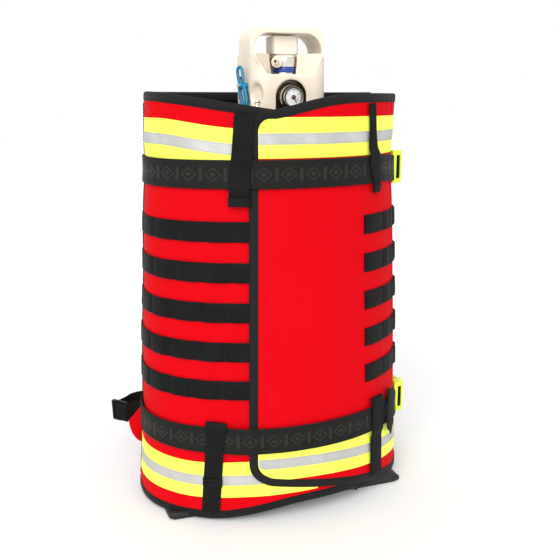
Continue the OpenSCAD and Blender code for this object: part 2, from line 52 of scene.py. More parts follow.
X, Y, Z = Vector((1, 0, 0)), Vector((0, 1, 0)), Vector((0, 0, 1))


def linked(name, data):
    """A new object, put into the scene."""
    obj = bpy.data.objects.new(name, data)
    bpy.context.scene.collection.objects.link(obj)
    return obj


def aim(obj, direction):
    """Turns a camera or a lamp, which look along their own -Z."""
    obj.rotation_euler = Vector(direction).to_track_quat("-Z", "Y").to_euler()


# ---- Camera, first ----

camera_data = bpy.data.cameras.new("camera")
camera_data.sensor_width, camera_data.lens, camera_data.shift_y = 36, 47.78, -0.0268
camera = linked("camera", camera_data)
camera.location = (-0.3014, -0.9560, 0.5370)
aim(camera, (0.3056, 0.9266, -0.2191))
bpy.context.scene.camera = camera
bpy.context.scene.view_settings.view_transform = "Standard"

# ---- The carrier's wall, as in the part's source ----

TOP_HALF_W, BASE_HALF_W = 162, 186
TOP_FRONT, BASE_FRONT = 110, 126
TOP_BACK, BASE_BACK = 80, 88
RIM_H, RIM_DIP, RIM_LOW_AT, RIM_SPREAD = 543, 21, 252, 26
BACK_RIM, RIM_SLOPE, MID_Z = 545, 26, 300
WEBBING_W, ROW_TOP, ROW_PITCH, COLUMN_PITCH = 25, 392, 50, 38
BELT_W, BELT_T, BELT_OUT, UPPER_BELT_Z, LOWER_BELT_Z = 34.5, 1.9, 1.9, 448.5, 112.5
TAPE_W, BINDING_W = 48, 11
AXIS_X, AXIS_Y, GUARD_W = 10.8, -10, 99
STRAP_W, STRAP_BOW = 62, 66
FABRIC_T, FLAP_LOW, FLAP_LIFT = 3, 0.4, 4.2
FLAP_OUT = FLAP_LOW + FABRIC_T
FLAP_EDGE, CORNER_R, BACK_EDGE, WRAP_START, WRAP_END, BACK_PAD_T = 249, 30, 15, 166, 300, 10
FLAP_END = 360 + BACK_EDGE


def smooth(x):
    c = max(0.0, min(1.0, x))
    return c * c * (3 - 2 * c)


def signed_power(v, p):
    return math.copysign(abs(v) ** p, v)


def half_w(z):
    return BASE_HALF_W + (TOP_HALF_W - BASE_HALF_W) * z / RIM_H


def half_d(front, z):
    low, high = (BASE_FRONT, TOP_FRONT) if front else (BASE_BACK, TOP_BACK)
    return low + (high - low) * z / RIM_H


def wall(a, z, out=0.0):
    c, s = math.cos(math.radians(a)), math.sin(math.radians(a))
    n = 2 if s < 0 else 3
    w, d = half_w(z), half_d(s < 0, z)
    nx, ny = signed_power(c, 2 - 2 / n) / w, signed_power(s, 2 - 2 / n) / d
    out /= math.hypot(nx, ny)
    return Vector((w * signed_power(c, 2 / n) + out * nx, d * signed_power(s, 2 / n) + out * ny, z))


def speed(a, z):
    return (wall(a + 0.5, z) - wall(a - 0.5, z)).length


def rim(a):
    if a < 180 - BACK_EDGE:
        return BACK_RIM
    dip = RIM_DIP * math.exp(-((a - RIM_LOW_AT) / RIM_SPREAD) ** 2)
    return max(BACK_RIM - RIM_SLOPE * (1 + math.cos(math.radians(a))), RIM_H - dip)


LEFT_HEM, LEFT_HEM_RISE, FLAP_HEM_LOW, FLAP_HEM_RISE = 3, 17, 9, 42


def left_hem(a):
    return LEFT_HEM + LEFT_HEM_RISE * smooth((a - 230) / 45)


def flap_hem(a):
    return FLAP_HEM_LOW + FLAP_HEM_RISE * (1 - max(0, min(1, (a - 255) / 75)))


def lift(a):
    return FLAP_LIFT * smooth((a - 236) / 11)


def ripple(a, z):
    """How far the fabric stands off the plain wall, in millimetres."""
    p = wall(a, z)
    side = (a + 180) % 360 - 180
    soft = 1.1 * noise.noise(p * 0.011) + 0.35 * noise.noise(p * 0.035)
    cinched = -1.3 * sum(math.exp(-((z - belt) / 26) ** 2) for belt in (UPPER_BELT_Z, LOWER_BELT_Z))
    between = 0.2 * math.exp(-((z - 290) / 90) ** 2)
    # upright folds where the flap turns the right side, and a flared rim there
    turning = math.exp(-((side + 20) / 13) ** 2)
    folds = 1.1 * turning * math.sin(side * 0.9 + z * 0.012) * smooth((z - 60) / 120)
    flare = 6.5 * smooth((z - 470) / 80) * math.exp(-((side + 8) / 30) ** 2)
    tuck = 2.0 * smooth((60 - z) / 50) * math.exp(-((side - 180 if side > 0 else side + 180) / 32) ** 2)
    return soft + cinched + between + folds + flare + tuck


def skin(a, z, out):
    return wall(a, z, out + ripple(a, z))


# ---- Mesh building ----

def finish_mesh(name, mesh, material, body, nodes, smooth_shade=True):
    """Makes a mesh a piece: its material, the body it rides and the nodes it stands for."""
    mesh.materials.clear()
    mesh.materials.append(material)
    mesh.polygons.foreach_set("use_smooth", [smooth_shade] * len(mesh.polygons))
    obj = linked(name, mesh)
    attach(obj, body)
    if nodes:
        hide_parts(*nodes)
    return obj

def build(name, verts, faces, uvs, material, nodes=(), body="carrier", merge=0.0, sharp=50):
    """A piece from millimetre points: closer than merge they join, and edges past sharp degrees are crisp."""
    mesh = bpy.data.meshes.new(name)
    mesh.from_pydata([tuple(c * MM for c in v) for v in verts], [], faces)
    index = np.zeros(len(mesh.loops), np.int32)
    mesh.loops.foreach_get("vertex_index", index)
    flat = np.asarray(uvs, np.float32) if len(uvs) else np.zeros((len(verts), 2), np.float32)
    mesh.uv_layers.new(name="UVMap").data.foreach_set("uv", flat[index].ravel())
    bm = bmesh.new()
    bm.from_mesh(mesh)
    if merge:
        bmesh.ops.remove_doubles(bm, verts=bm.verts, dist=merge * MM)
    bmesh.ops.recalc_face_normals(bm, faces=bm.faces)
    for edge in bm.edges:
        if len(edge.link_faces) == 2 and edge.calc_face_angle(0) > math.radians(sharp):
            edge.smooth = False
    bm.to_mesh(mesh)
    bm.free()
    return finish_mesh(name, mesh, material, body, nodes)


def loft(rings, closed=True, loop=False, first=0):
    """Faces between cross-sections that have the same number of points, with flat ends."""
    n, faces = len(rings[0]), []
    for i in range(len(rings) if loop else len(rings) - 1):
        j = (i + 1) % len(rings)
        for k in range(n if closed else n - 1):
            m = (k + 1) % n
            faces.append((first + i * n + k, first + j * n + k, first + j * n + m, first + i * n + m))
    if closed and not loop:
        last = first + (len(rings) - 1) * n
        faces += [tuple(range(first, first + n)), tuple(range(last, last + n))]
    return faces


def flat(rings):
    return [v for ring in rings for v in ring]


def lofted(name, rings, uvs, material, nodes=(), body="carrier", loop=False, closed=True, **finish):
    return build(name, flat(rings), loft(rings, closed, loop), uvs, material, nodes, body, **finish)


def trace(path, step=3.0):
    """A path of (angle, height) corners as [angle, height, distance] every few millimetres."""
    fine = []
    for (a0, z0), (a1, z1) in zip(path, path[1:]):
        n = max(1, int(max(abs(a1 - a0) / 0.6, abs(z1 - z0) / 2.5)))
        fine += [(a0 + (a1 - a0) * i / n, z0 + (z1 - z0) * i / n) for i in range(n)]
    fine.append(path[-1])
    spots = [wall(a, z) for a, z in fine]
    far = np.concatenate([[0], np.cumsum([(q - p).length for p, q in zip(spots, spots[1:])])])
    at = np.linspace(0, far[-1], max(3, int(round(far[-1] / step)) + 1))
    return list(zip(np.interp(at, far, [p[0] for p in fine]), np.interp(at, far, [p[1] for p in fine]), at))


def aside(pts, i, d):
    a, z = pts[i][0], pts[i][1]
    (a0, z0, _), (a1, z1, _) = pts[max(i - 1, 0)], pts[min(i + 1, len(pts) - 1)]
    v = speed(a, z)
    along = Vector(((a1 - a0) * v, z1 - z0)).normalized()
    return a - d * along.y / v, z + d * along.x


def value(thing, *args):
    return thing(*args) if callable(thing) else thing


WEB = [(-1, .5), (-.975, .16), (-.92, 0), (0, 0), (.92, 0), (.975, .16), (1, .5), (.975, .84), (.92, 1),
       (.6, 1.03), (.2, 1.05), (-.2, 1.05), (-.6, 1.03), (-.92, 1), (-.975, .84)]


def wall_strip(name, pts, section, material, nodes, riding=False):
    """Sweeps a cross-section, section(angle, distance), of (across, outward) points along a traced path."""
    rings, uvs = [], []
    for i, (a, z, d) in enumerate(pts):
        ring = []
        for across, out in section(a, d):
            aa, zz = aside(pts, i, across)
            ring.append(skin(aa, zz, out + (lift(aa) if riding else 0)))
            uvs.append((d, across))
        rings.append(ring)
    return lofted(name, rings, uvs, material, nodes)


def band(name, path, width, low, thick, material, nodes=(), riding=False, bow=None, step=3.0):
    """Webbing along a path on the wall, with rounded edges. bow(distance, across) lifts it."""
    pts = trace(path, step)

    def section(_, d):
        half, level = value(width, d / pts[-1][2]) / 2, value(low, d)
        return [(s * half, level + thick * k + (bow(d, s * half) if bow else 0)) for s, k in WEB]
    return wall_strip(name, pts, section, material, nodes, riding)


def binding(name, path, low, high, nodes, step=3.0):
    """Tape folded over an edge: the free edge is on the left of the path."""
    e = BINDING_W / 2

    def section(a, _):
        lo, hi = value(low, a), value(high, a)
        mid = (lo + hi) / 2
        return [(-e, hi + .1), (-e + .3, hi + .75), (-e + 1.6, hi + .55), (-e + 2.6, hi + .8),
                (-.5, hi + 1.0), (e - 2.2, hi + .85), (e - .8, hi + .3), (e + .25, mid + .8),
                (e + .25, mid - .8), (e - .8, lo - .3), (e - 2.2, lo - .85), (-.5, lo - 1.0),
                (-e + .3, lo - .75), (-e, lo - .1)]
    return wall_strip(name, trace(path, step), section, BIND, nodes)


def panel(name, a0, a1, low, high, inner, outer, material, nodes=(), cols=90, rows=100):
    """A curved sheet between two angles, a lower and an upper edge, and an inner and an outer offset."""
    rings, uvs, run, last = [], [], 0.0, wall(a0, MID_Z)
    for i in range(cols + 1):
        a = a0 + (a1 - a0) * i / cols
        run += (wall(a, MID_Z) - last).length
        last = wall(a, MID_Z)
        lo, hi = low(a), high(a)
        heights = [lo + (hi - lo) * j / rows for j in range(rows + 1)]
        rings.append([skin(a, z, outer) for z in heights] + [skin(a, z, inner) for z in reversed(heights)])
        uvs += [(run, z) for z in heights + heights[::-1]]
    return lofted(name, rings, uvs, material, nodes)


def ribbon(name, path, across, width, thick, material, nodes=(), body="carrier", shape=WEB):
    """A flat strap through space; across is the direction of its width."""
    rings, uvs, d = [], [], 0.0
    for i, p in enumerate(path):
        if i:
            d += (p - path[i - 1]).length
        along = (path[min(i + 1, len(path) - 1)] - path[max(i - 1, 0)]).normalized()
        side = value(across, i)
        normal = along.cross(side).normalized()
        half = width / 2
        rings.append([p + side * (s * half) + normal * ((k - 0.5) * thick) for s, k in shape])
        uvs += [(d, s * half) for s, k in shape]
    return lofted(name, rings, uvs, material, nodes, body)


def turn(count):
    """Angles all the way round, in radians."""
    return [2 * math.pi * k / count for k in range(count)]


def tube(path, radius, sides=10, closed=False, squash=1.0, up=X):
    """Rings of a round bar along a path; squash flattens it along up."""
    rings, last = [], len(path) - 1
    for i, p in enumerate(path):
        before, after = (i - 1, (i + 1) % len(path)) if closed else (max(i - 1, 0), min(i + 1, last))
        along = (path[after] - path[before]).normalized()
        side = along.cross(up).normalized()
        top = side.cross(along).normalized() * squash
        rings.append([p + (side * math.cos(t) + top * math.sin(t)) * radius for t in turn(sides)])
    return rings


def round_bar(name, path, radius, material, nodes=(), body="carrier", weave=(0, 0), closed=False, **shape):
    """A piece made of a tube; weave is the spacing of its rings and of the points on a ring."""
    rings = tube(path, radius, closed=closed, **shape)
    uvs = [(i * weave[0], j * weave[1]) for i, ring in enumerate(rings) for j in range(len(ring))]
    return lofted(name, rings, uvs, material, nodes, body, loop=closed)


def turned(name, profile, centre, axes, material, body, sides=96):
    """A piece turned about the last of three axes; its profile is (radius, distance along that axis)."""
    u, v, w = axes
    outward = [u * math.cos(t) + v * math.sin(t) for t in turn(sides)]
    rings = [[centre + out * r + w * f for r, f in profile] for out in outward]
    return lofted(name, rings, [], material, [], body, loop=True, merge=0.01)


# ---- Thread: every stitch is a small spindle that dips at both ends ----

threads = {}


def sew(points, normals, colour="black", pitch=4.4, length=3.3, r=0.36, body="carrier"):
    far = np.concatenate([[0], np.cumsum([(q - p).length for p, q in zip(points, points[1:])])])
    if far[-1] < length:
        return
    spots = np.array([tuple(p) for p in points])
    ups = np.array([tuple(n) for n in normals])

    def at(d):
        place = Vector([np.interp(d, far, spots[:, k]) for k in range(3)])
        return place, Vector([np.interp(d, far, ups[:, k]) for k in range(3)]).normalized()
    verts, faces = threads.setdefault((colour, body), ([], []))
    for i in range(int((far[-1] - length) / pitch) + 1):
        start = i * pitch + 0.3
        p0, up = at(start)
        p1, _ = at(start + length)
        along = p1 - p0
        side = along.cross(up).normalized() * r
        first = len(verts)
        verts.append(p0 - up * 0.25)
        for t, rise in ((.22, .28), (.78, .28)):
            c = p0 + along * t + up * rise
            verts += [c + side, c + up * r, c - side, c - up * r]
        verts.append(p1 - up * 0.25)
        for k in range(4):
            m = (k + 1) % 4
            faces += [(first, first + 1 + k, first + 1 + m),
                      (first + 1 + k, first + 5 + k, first + 5 + m, first + 1 + m),
                      (first + 9, first + 5 + m, first + 5 + k)]


def sew_wall(path, out, riding=False, offset=0.0, **style):
    """Stitches along a path on the wall, offset to its left."""
    pts = trace(path, 2.0)
    points, normals = [], []
    for i, (a, z, d) in enumerate(pts):
        aa, zz = aside(pts, i, offset)
        points.append(skin(aa, zz, value(out, d) + (lift(aa) if riding else 0)))
        normals.append((wall(aa, zz, 1) - wall(aa, zz, 0)).normalized())
    sew(points, normals, **style)


# ---- Materials ----

class Surface:
    """A procedural material, built a socket at a time."""

    def __init__(self, name, **base):
        self.material = bpy.data.materials.new(name)
        self.material.use_nodes = True
        self.tree = self.material.node_tree
        self.shader = self.tree.nodes["Principled BSDF"]
        self.set(**base)
        coords = self.node("TexCoord")
        self.place = coords.outputs["Object"]
        split = self.node("SeparateXYZ", {0: coords.outputs["UV"]})
        self.u, self.v = split.outputs[0], split.outputs[1]

    def set(self, **values):
        for key, item in values.items():
            self.feed(self.shader.inputs[key.replace("_", " ")], item)
        return self

    def feed(self, socket, item):
        if isinstance(item, bpy.types.NodeSocket):
            self.tree.links.new(item, socket)
        elif isinstance(item, tuple) and len(item) == 3 and socket.type == "RGBA":
            socket.default_value = (*item, 1)
        else:
            socket.default_value = item

    def node(self, kind, inputs=None, **props):
        made = self.tree.nodes.new("ShaderNode" + kind)
        for key, item in props.items():
            setattr(made, key, item)
        for key, item in (inputs or {}).items():
            self.feed(made.inputs[key], item)
        return made

    def math(self, operation, a, b=0.0, c=0.0):
        return self.node("Math", {0: a, 1: b, 2: c}, operation=operation).outputs[0]

    def times(self, a, b):
        return self.math("MULTIPLY", a, b)

    def plus(self, a, b):
        return self.math("ADD", a, b)

    def minus(self, a, b):
        return self.math("SUBTRACT", a, b)

    def wave(self, x, pitch):
        """A sine of a coordinate, from 0 to 1, with the given pitch."""
        return self.math("MULTIPLY_ADD", self.math("SINE", self.times(x, 2 * math.pi / pitch)), 0.5, 0.5)

    def noise(self, scale, detail=3.0, vector=None, rough=0.55):
        inputs = {"Vector": vector or self.place, "Scale": scale, "Detail": detail, "Roughness": rough}
        return self.node("TexNoise", inputs).outputs["Fac"]

    def cells(self, scale, vector=None, feature="F1", randomness=1.0):
        inputs = {"Vector": vector or self.place, "Scale": scale, "Randomness": randomness}
        return self.node("TexVoronoi", inputs, feature=feature).outputs["Distance"]

    def step(self, x, low, high):
        return self.node("MapRange", {0: x, 1: low, 2: high}, interpolation_type="SMOOTHSTEP").outputs[0]

    def range(self, x, low, high, to_low, to_high):
        return self.node("MapRange", {0: x, 1: low, 2: high, 3: to_low, 4: to_high}).outputs[0]

    def mix(self, factor, a, b):
        made = self.node("Mix", data_type="RGBA")
        self.feed(made.inputs["Factor"], factor)
        for letter, colour in (("A", a), ("B", b)):
            self.feed([s for s in made.inputs if s.name == letter and s.type == "RGBA"][0], colour)
        return [s for s in made.outputs if s.type == "RGBA"][0]

    def bump(self, height, distance, below=None):
        inputs = {"Height": height, "Distance": distance, "Strength": 1.0}
        if below:
            inputs["Normal"] = below
        return self.node("Bump", inputs).outputs[0]

    def plain_weave(self, pitch):
        """Over-and-under threads: high where a thread crosses over."""
        warp, weft = (self.minus(self.wave(x, pitch), 0.5) for x in (self.u, self.v))
        return self.math("MULTIPLY_ADD", self.times(warp, weft), 2.0, 0.5)


def soft_surface(name, specular, rough, sheen, sheen_rough=0.4, **more):
    """The start of a fabric: little shine, and a sheen of loose fibres."""
    return Surface(name, Specular_IOR_Level=specular, Roughness=rough, Sheen_Weight=sheen,
                   Sheen_Roughness=sheen_rough, **more)


def coated_fabric(name, colour, dark, tint=(1, 1, 1), rough=0.62):
    """A plain weave under a coating, with a ripstop grid and slow patches."""
    s = soft_surface(name, 0.03, rough, 0.02, 0.45, Sheen_Tint=(*tint, 1))
    weave = s.plain_weave(1.1)
    grid = s.math("MAXIMUM", s.wave(s.u, 5.5), s.wave(s.v, 5.5))
    shade = s.plus(s.times(weave, 0.16), s.range(s.noise(9, 4), 0.3, 0.7, 0.0, 0.2))
    shade = s.plus(shade, s.times(s.step(grid, 0.93, 1.0), 0.16))
    s.set(Base_Color=s.mix(shade, colour, dark))
    s.set(Normal=s.bump(s.noise(60, 3), 0.0004, s.bump(weave, 0.00012)))
    return s.material


def herringbone(name, colour, light):
    """Webbing: slanting ribs that turn at each zigzag, over lengthwise cords."""
    s = soft_surface(name, 0.07, 0.55, 0.015)
    zig = s.math("PINGPONG", s.v, 3.2)
    ribs = s.wave(s.plus(s.u, s.times(zig, 0.55)), 2.0)
    height = s.plus(s.times(ribs, 0.6), s.times(s.wave(s.v, 1.5), 0.4))
    worn = s.range(s.noise(40, 4), 0.35, 0.75, 0.0, 1.0)
    s.set(Base_Color=s.mix(s.times(s.plus(height, worn), 0.5), colour, light))
    s.set(Normal=s.bump(height, 0.00022))
    return s.material


def grosgrain(name, colour, light):
    s = soft_surface(name, 0.1, 0.6, 0.04)
    ribs, fuzz = s.wave(s.u, 0.95), s.noise(220, 3)
    s.set(Base_Color=s.mix(s.times(s.plus(ribs, fuzz), 0.5), colour, light))
    s.set(Normal=s.bump(s.plus(ribs, s.times(fuzz, 0.6)), 0.00018))
    return s.material


def jacquard(name):
    """Belt with a woven-in chain of lozenges and bars between two plain borders."""
    s = soft_surface(name, 0.1, 0.5, 0.03)
    along = s.math("PINGPONG", s.u, 15.0)
    high = s.math("ABSOLUTE", s.v)
    lozenge = s.plus(s.math("DIVIDE", along, 11.0), s.math("DIVIDE", high, 9.0))
    ring = s.minus(1.0, s.step(s.math("ABSOLUTE", s.minus(lozenge, 0.85)), 0.10, 0.16))
    heart = s.minus(1.0, s.step(lozenge, 0.30, 0.38))
    bar = s.times(s.step(along, 12.6, 13.2), s.minus(1.0, s.step(high, 7.6, 8.4)))
    border = s.step(high, 13.2, 13.9)
    motif = s.times(s.math("MAXIMUM", s.math("MAXIMUM", ring, heart), bar), s.minus(1.0, border))
    ribs = s.wave(s.plus(s.u, s.times(s.math("PINGPONG", s.v, 1.6), 0.8)), 1.5)
    tone = s.plus(s.times(motif, 0.55), s.times(s.plus(ribs, s.noise(160, 3)), 0.2))
    s.set(Base_Color=s.mix(tone, (0.006, 0.006, 0.0055), (0.028, 0.027, 0.024)))
    height = s.plus(s.times(motif, 2.2), s.plus(s.times(ribs, 0.6), s.times(border, 1.2)))
    s.set(Roughness=s.range(motif, 0, 1, 0.62, 0.42), Normal=s.bump(height, 0.00016))
    return s.material


def fluorescent(name):
    # The emission is a painted glow: it brightens the yellow tape whatever light falls on it.
    s = Surface(name, Roughness=0.5, Emission_Color=(0.72, 1.0, 0.02), Emission_Strength=0.10)
    weave = s.plain_weave(0.9)
    dull = s.plus(s.times(weave, 0.15), s.range(s.noise(14, 3), 0.35, 0.7, 0.0, 0.45))
    s.set(Base_Color=s.mix(dull, (0.82, 0.86, 0.10), (0.66, 0.80, 0.04)))
    s.set(Normal=s.bump(s.noise(45, 2), 0.0005, s.bump(weave, 0.0001)))
    return s.material


def reflective(name):
    """Glass-bead silver: a fine honeycomb, painted highlights in soft bright patches, and slanting creases
    painted lighter.
    """
    s = Surface(name, Metallic=0.35, Roughness=0.42)
    slant = s.times(s.plus(s.u, s.times(s.v, 0.5)), 0.022)
    long = s.node("CombineXYZ", {0: slant, 1: s.times(s.v, 0.01)}).outputs[0]
    # Painted highlights: soft bright patches and lighter creases stand in for light off the silver.
    painted_highlight = s.range(s.noise(1.4, 2, long), 0.38, 0.68, 0.0, 1.0)
    painted_crease_highlight = s.step(s.noise(6.0, 3, long, 0.7), 0.56, 0.64)
    tone = s.plus(s.times(painted_highlight, 0.8), s.times(painted_crease_highlight, 0.2))
    s.set(Base_Color=s.mix(tone, (0.42, 0.42, 0.41), (0.53, 0.53, 0.51)))
    beads = s.cells(1.1, s.node("CombineXYZ", {0: s.u, 1: s.v}).outputs[0])
    s.set(Normal=s.bump(s.noise(3.5, 3, long), 0.0006, s.bump(beads, 0.00008)))
    return s.material


def spacer_mesh(name):
    s = soft_surface(name, 0.1, 0.7, 0.05, 0.5)
    # The holes are painted near-black: painted shade inside them.
    hole = s.step(s.cells(330.0, feature="DISTANCE_TO_EDGE", randomness=0.25), 0.10, 0.32)
    s.set(Base_Color=s.mix(hole, (0.055, 0.055, 0.055), (0.006, 0.006, 0.006)), Normal=s.bump(hole, -0.0007))
    return s.material

def rubberised(name):
    s = Surface(name, Specular_IOR_Level=0.25, Roughness=0.5, Coat_Weight=0.03, Coat_Roughness=0.4)
    dust = s.range(s.noise(22, 5), 0.45, 0.8, 0.0, 1.0)
    grain = s.bump(s.cells(420.0), 0.0002)
    s.set(Base_Color=s.mix(dust, (0.012, 0.012, 0.012), (0.026, 0.025, 0.024)))
    s.set(Roughness=s.range(dust, 0, 1, 0.45, 0.7), Normal=s.bump(s.noise(30, 4), 0.0012, grain))
    return s.material


def moulded(name, colour, other, rough=0.38, **more):
    """Injection-moulded plastic: satin grain, slow colour drift, painted shade in its hollows and sharp edges
    made paler.
    """
    s = Surface(name, Subsurface_Scale=0.004, **more)
    drift = s.range(s.noise(26, 4), 0.35, 0.7, 0.0, 0.55)
    pointed = s.node("NewGeometry").outputs["Pointiness"]
    # Painted shade: hollows, where pointiness is low, are darkened towards the other colour; sharp edges are
    # made paler.
    painted_hollow_shade, edge = s.step(pointed, 0.49, 0.42), s.step(pointed, 0.52, 0.60)
    tone = s.minus(s.plus(drift, s.times(painted_hollow_shade, 0.5)), s.times(edge, 0.15))
    s.set(Base_Color=s.mix(s.math("MINIMUM", s.math("MAXIMUM", tone, 0.0), 1.0), colour, other))
    s.set(Roughness=s.range(s.noise(90, 4), 0.3, 0.7, rough - 0.06, rough + 0.08))
    s.set(Normal=s.bump(s.noise(1400, 2), 0.00005))
    return s.material


def metal(name, colour, other, rough, streak=(1, 1, 40), metallic=1.0):
    s = Surface(name, Metallic=metallic)
    lines = s.noise(60, 4, s.node("Mapping", {"Vector": s.place, "Scale": streak}).outputs[0])
    s.set(Base_Color=s.mix(lines, colour, other), Normal=s.bump(lines, 0.00002))
    s.set(Roughness=s.range(s.noise(35, 4), 0.3, 0.7, rough * 0.7, rough * 1.4))
    return s.material


def enamel(name, colour, other):
    s = Surface(name, Roughness=0.28, Coat_Weight=0.3, Coat_Roughness=0.12)
    scuff = s.step(s.noise(28, 6, None, 0.7), 0.60, 0.66)
    s.set(Base_Color=s.mix(s.times(scuff, 0.5), colour, other), Roughness=s.range(scuff, 0, 1, 0.26, 0.5))
    s.set(Normal=s.bump(s.noise(260, 2), 0.00004))
    return s.material


def spun_thread(name, colour, light):
    s = soft_surface(name, 0.1, 0.5, 0.04)
    twist = s.noise(900, 2)
    s.set(Base_Color=s.mix(twist, colour, light), Normal=s.bump(twist, 0.0001))
    return s.material


RED = coated_fabric("red_fabric", (0.60, 0.0015, 0.006), (0.50, 0.001, 0.004), tint=(1, 0.3, 0.3))
LINING = coated_fabric("black_lining", (0.006, 0.006, 0.006), (0.003, 0.003, 0.003), rough=0.7)
BIND = grosgrain("black_binding", (0.007, 0.007, 0.007), (0.016, 0.0155, 0.015))
WEBBING = herringbone("black_webbing", (0.004, 0.004, 0.004), (0.011, 0.011, 0.0105))
BELT = jacquard("woven_belt")
YELLOW = fluorescent("fluorescent_tape")
SILVER = reflective("silver_stripe")
MESH = spacer_mesh("spacer_mesh")
BASE = rubberised("coated_base")
BUCKLE = moulded("yellow_plastic", (0.74, 0.86, 0.06), (0.56, 0.70, 0.02), 0.35, Subsurface_Weight=0.15)
BLACK_PLASTIC = moulded("black_plastic", (0.012, 0.012, 0.012), (0.024, 0.024, 0.024), 0.5)
IVORY = moulded("ivory_plastic", (0.80, 0.71, 0.58), (0.68, 0.55, 0.40), 0.36, Subsurface_Weight=0.05)
# A lighter copy of the ivory, as painted light: it brightens the knob, which sits in the guard's shade.
LIT_IVORY_COPY = moulded("ivory_plastic_painted_lighter", (0.85, 0.79, 0.69), (0.76, 0.69, 0.57), 0.36,
                     Subsurface_Weight=0.05)
PAINT = enamel("cylinder_paint", (0.84, 0.84, 0.82), (0.50, 0.49, 0.47))
CHROME = metal("chrome", (0.82, 0.80, 0.77), (0.66, 0.63, 0.58), 0.14, (1, 1, 0.3))
STEEL = metal("steel", (0.62, 0.61, 0.60), (0.45, 0.44, 0.43), 0.32)
# Chrome painted dark brown: painted shade and painted reflection for the gauge's case and hood in the recess.
SHADED_CHROME = metal("chrome_painted_shaded", (0.34, 0.29, 0.22), (0.14, 0.115, 0.085), 0.2)
BLUE = moulded("blue_plastic", (0.015, 0.06, 0.33), (0.01, 0.035, 0.20), 0.12)
TURQUOISE = moulded("turquoise_rubber", (0.0, 0.20, 0.38), (0.0, 0.14, 0.29), 0.45)
# Navy for the strip behind the bed strap's loops: painted shade between them and the guard.
NAVY_SHADE = coated_fabric("navy_shade_strip", (0.012, 0.035, 0.12), (0.005, 0.015, 0.06))
# The dial's emission is a painted glow that keeps it bright inside the shaded gauge window.
DIAL = moulded("dial_white", (0.90, 0.90, 0.89), (0.84, 0.83, 0.80), 0.5,
               Emission_Color=(1, 1, 1), Emission_Strength=0.35)
INK = moulded("dial_ink", (0.03, 0.03, 0.03), (0.06, 0.05, 0.05), 0.5)
HUB = metal("brown_hub", (0.22, 0.11, 0.06), (0.15, 0.07, 0.04), 0.35, metallic=0.5)
THREAD = spun_thread("black_thread", (0.006, 0.006, 0.006), (0.030, 0.029, 0.028))
YELLOW_THREAD = spun_thread("yellow_thread", (0.70, 0.78, 0.05), (0.95, 0.98, 0.25))
SILVER_THREAD = spun_thread("silver_thread", (0.32, 0.33, 0.26), (0.50, 0.50, 0.44))
RED_THREAD = spun_thread("red_thread", (0.45, 0.004, 0.01), (0.75, 0.02, 0.03))
glass = Surface("gauge_glass", Roughness=0.03, IOR=1.46, Transmission_Weight=1.0,
                Base_Color=(0.98, 0.99, 0.99))
glass.set(Normal=glass.bump(glass.noise(900, 2), 0.000004))
GLASS = glass.material
USES = {"red": [RED, RED_THREAD], "black_bind": [LINING, BIND], "webbing": [WEBBING, THREAD], "belt": [BELT],
        "tape": [YELLOW, SILVER, YELLOW_THREAD, SILVER_THREAD], "pad": [MESH], "base": [BASE],
        "yellow_plastic": [BUCKLE], "black_plastic": [BLACK_PLASTIC], "ivory": [IVORY, LIT_IVORY_COPY],
        "chrome": [CHROME], "steel": [STEEL], "gauge": [SHADED_CHROME], "blue": [BLUE, NAVY_SHADE],
        "turquoise": [TURQUOISE], "white": [DIAL], "needle": [INK, HUB]}
SLOTS = {material.name: slot for slot, group in USES.items() for material in group}

# ---- Carrier panels and lining ----


def flap_inset(a, margin):
    """How far a line lies inside the flap's rim or hem, margin inside its edge, round the corners too."""
    d, r = CORNER_R - (a - FLAP_EDGE) * speed(a, MID_Z), CORNER_R - margin
    return CORNER_R - math.sqrt(r * r - min(d, r) ** 2) if d > 0 else margin


UNDER = 5
PANELS = [
    ("back", BACK_EDGE, 180 - BACK_EDGE, lambda a: 5, lambda a: BACK_RIM - UNDER,
     -BACK_PAD_T + 1, 0, "back_panel"),
    ("left", 180 - BACK_EDGE, WRAP_END, lambda a: left_hem(a) + UNDER, lambda a: rim(a) - UNDER,
     -FABRIC_T + 1, 0, "left_wrap"),
    ("flap", FLAP_EDGE + 1.8, FLAP_END, lambda a: flap_hem(a) + flap_inset(a, UNDER),
     lambda a: rim(a) - flap_inset(a, UNDER), FLAP_LOW + 1, FLAP_OUT, "front_flap"),
]
for name, a0, a1, low, high, inner, outer, node in PANELS:
    made = panel(name + "_red_panel", a0, a1, low, high, inner, outer, RED, [node])
    panel(name + "_lining", a0 + 0.1, a1 - 0.1, low, high, inner - 1, inner - 0.05, LINING, cols=70, rows=40)


def wrap_low(a):
    return -FABRIC_T - (BACK_PAD_T - FABRIC_T) * (1 - smooth((a - 160) / 12))


def corner(start, top):
    """The middle of the binding round one of the flap's corners."""
    spots, r = [], CORNER_R - BINDING_W / 2
    for i in range(13):
        t = math.radians(start + 90 * i / 12)
        a = FLAP_EDGE + (CORNER_R - r * math.cos(t)) / CORNER_SPEED
        spots.append((a, (rim(a) - CORNER_R if top else flap_hem(a) + CORNER_R) + r * math.sin(t)))
    return spots


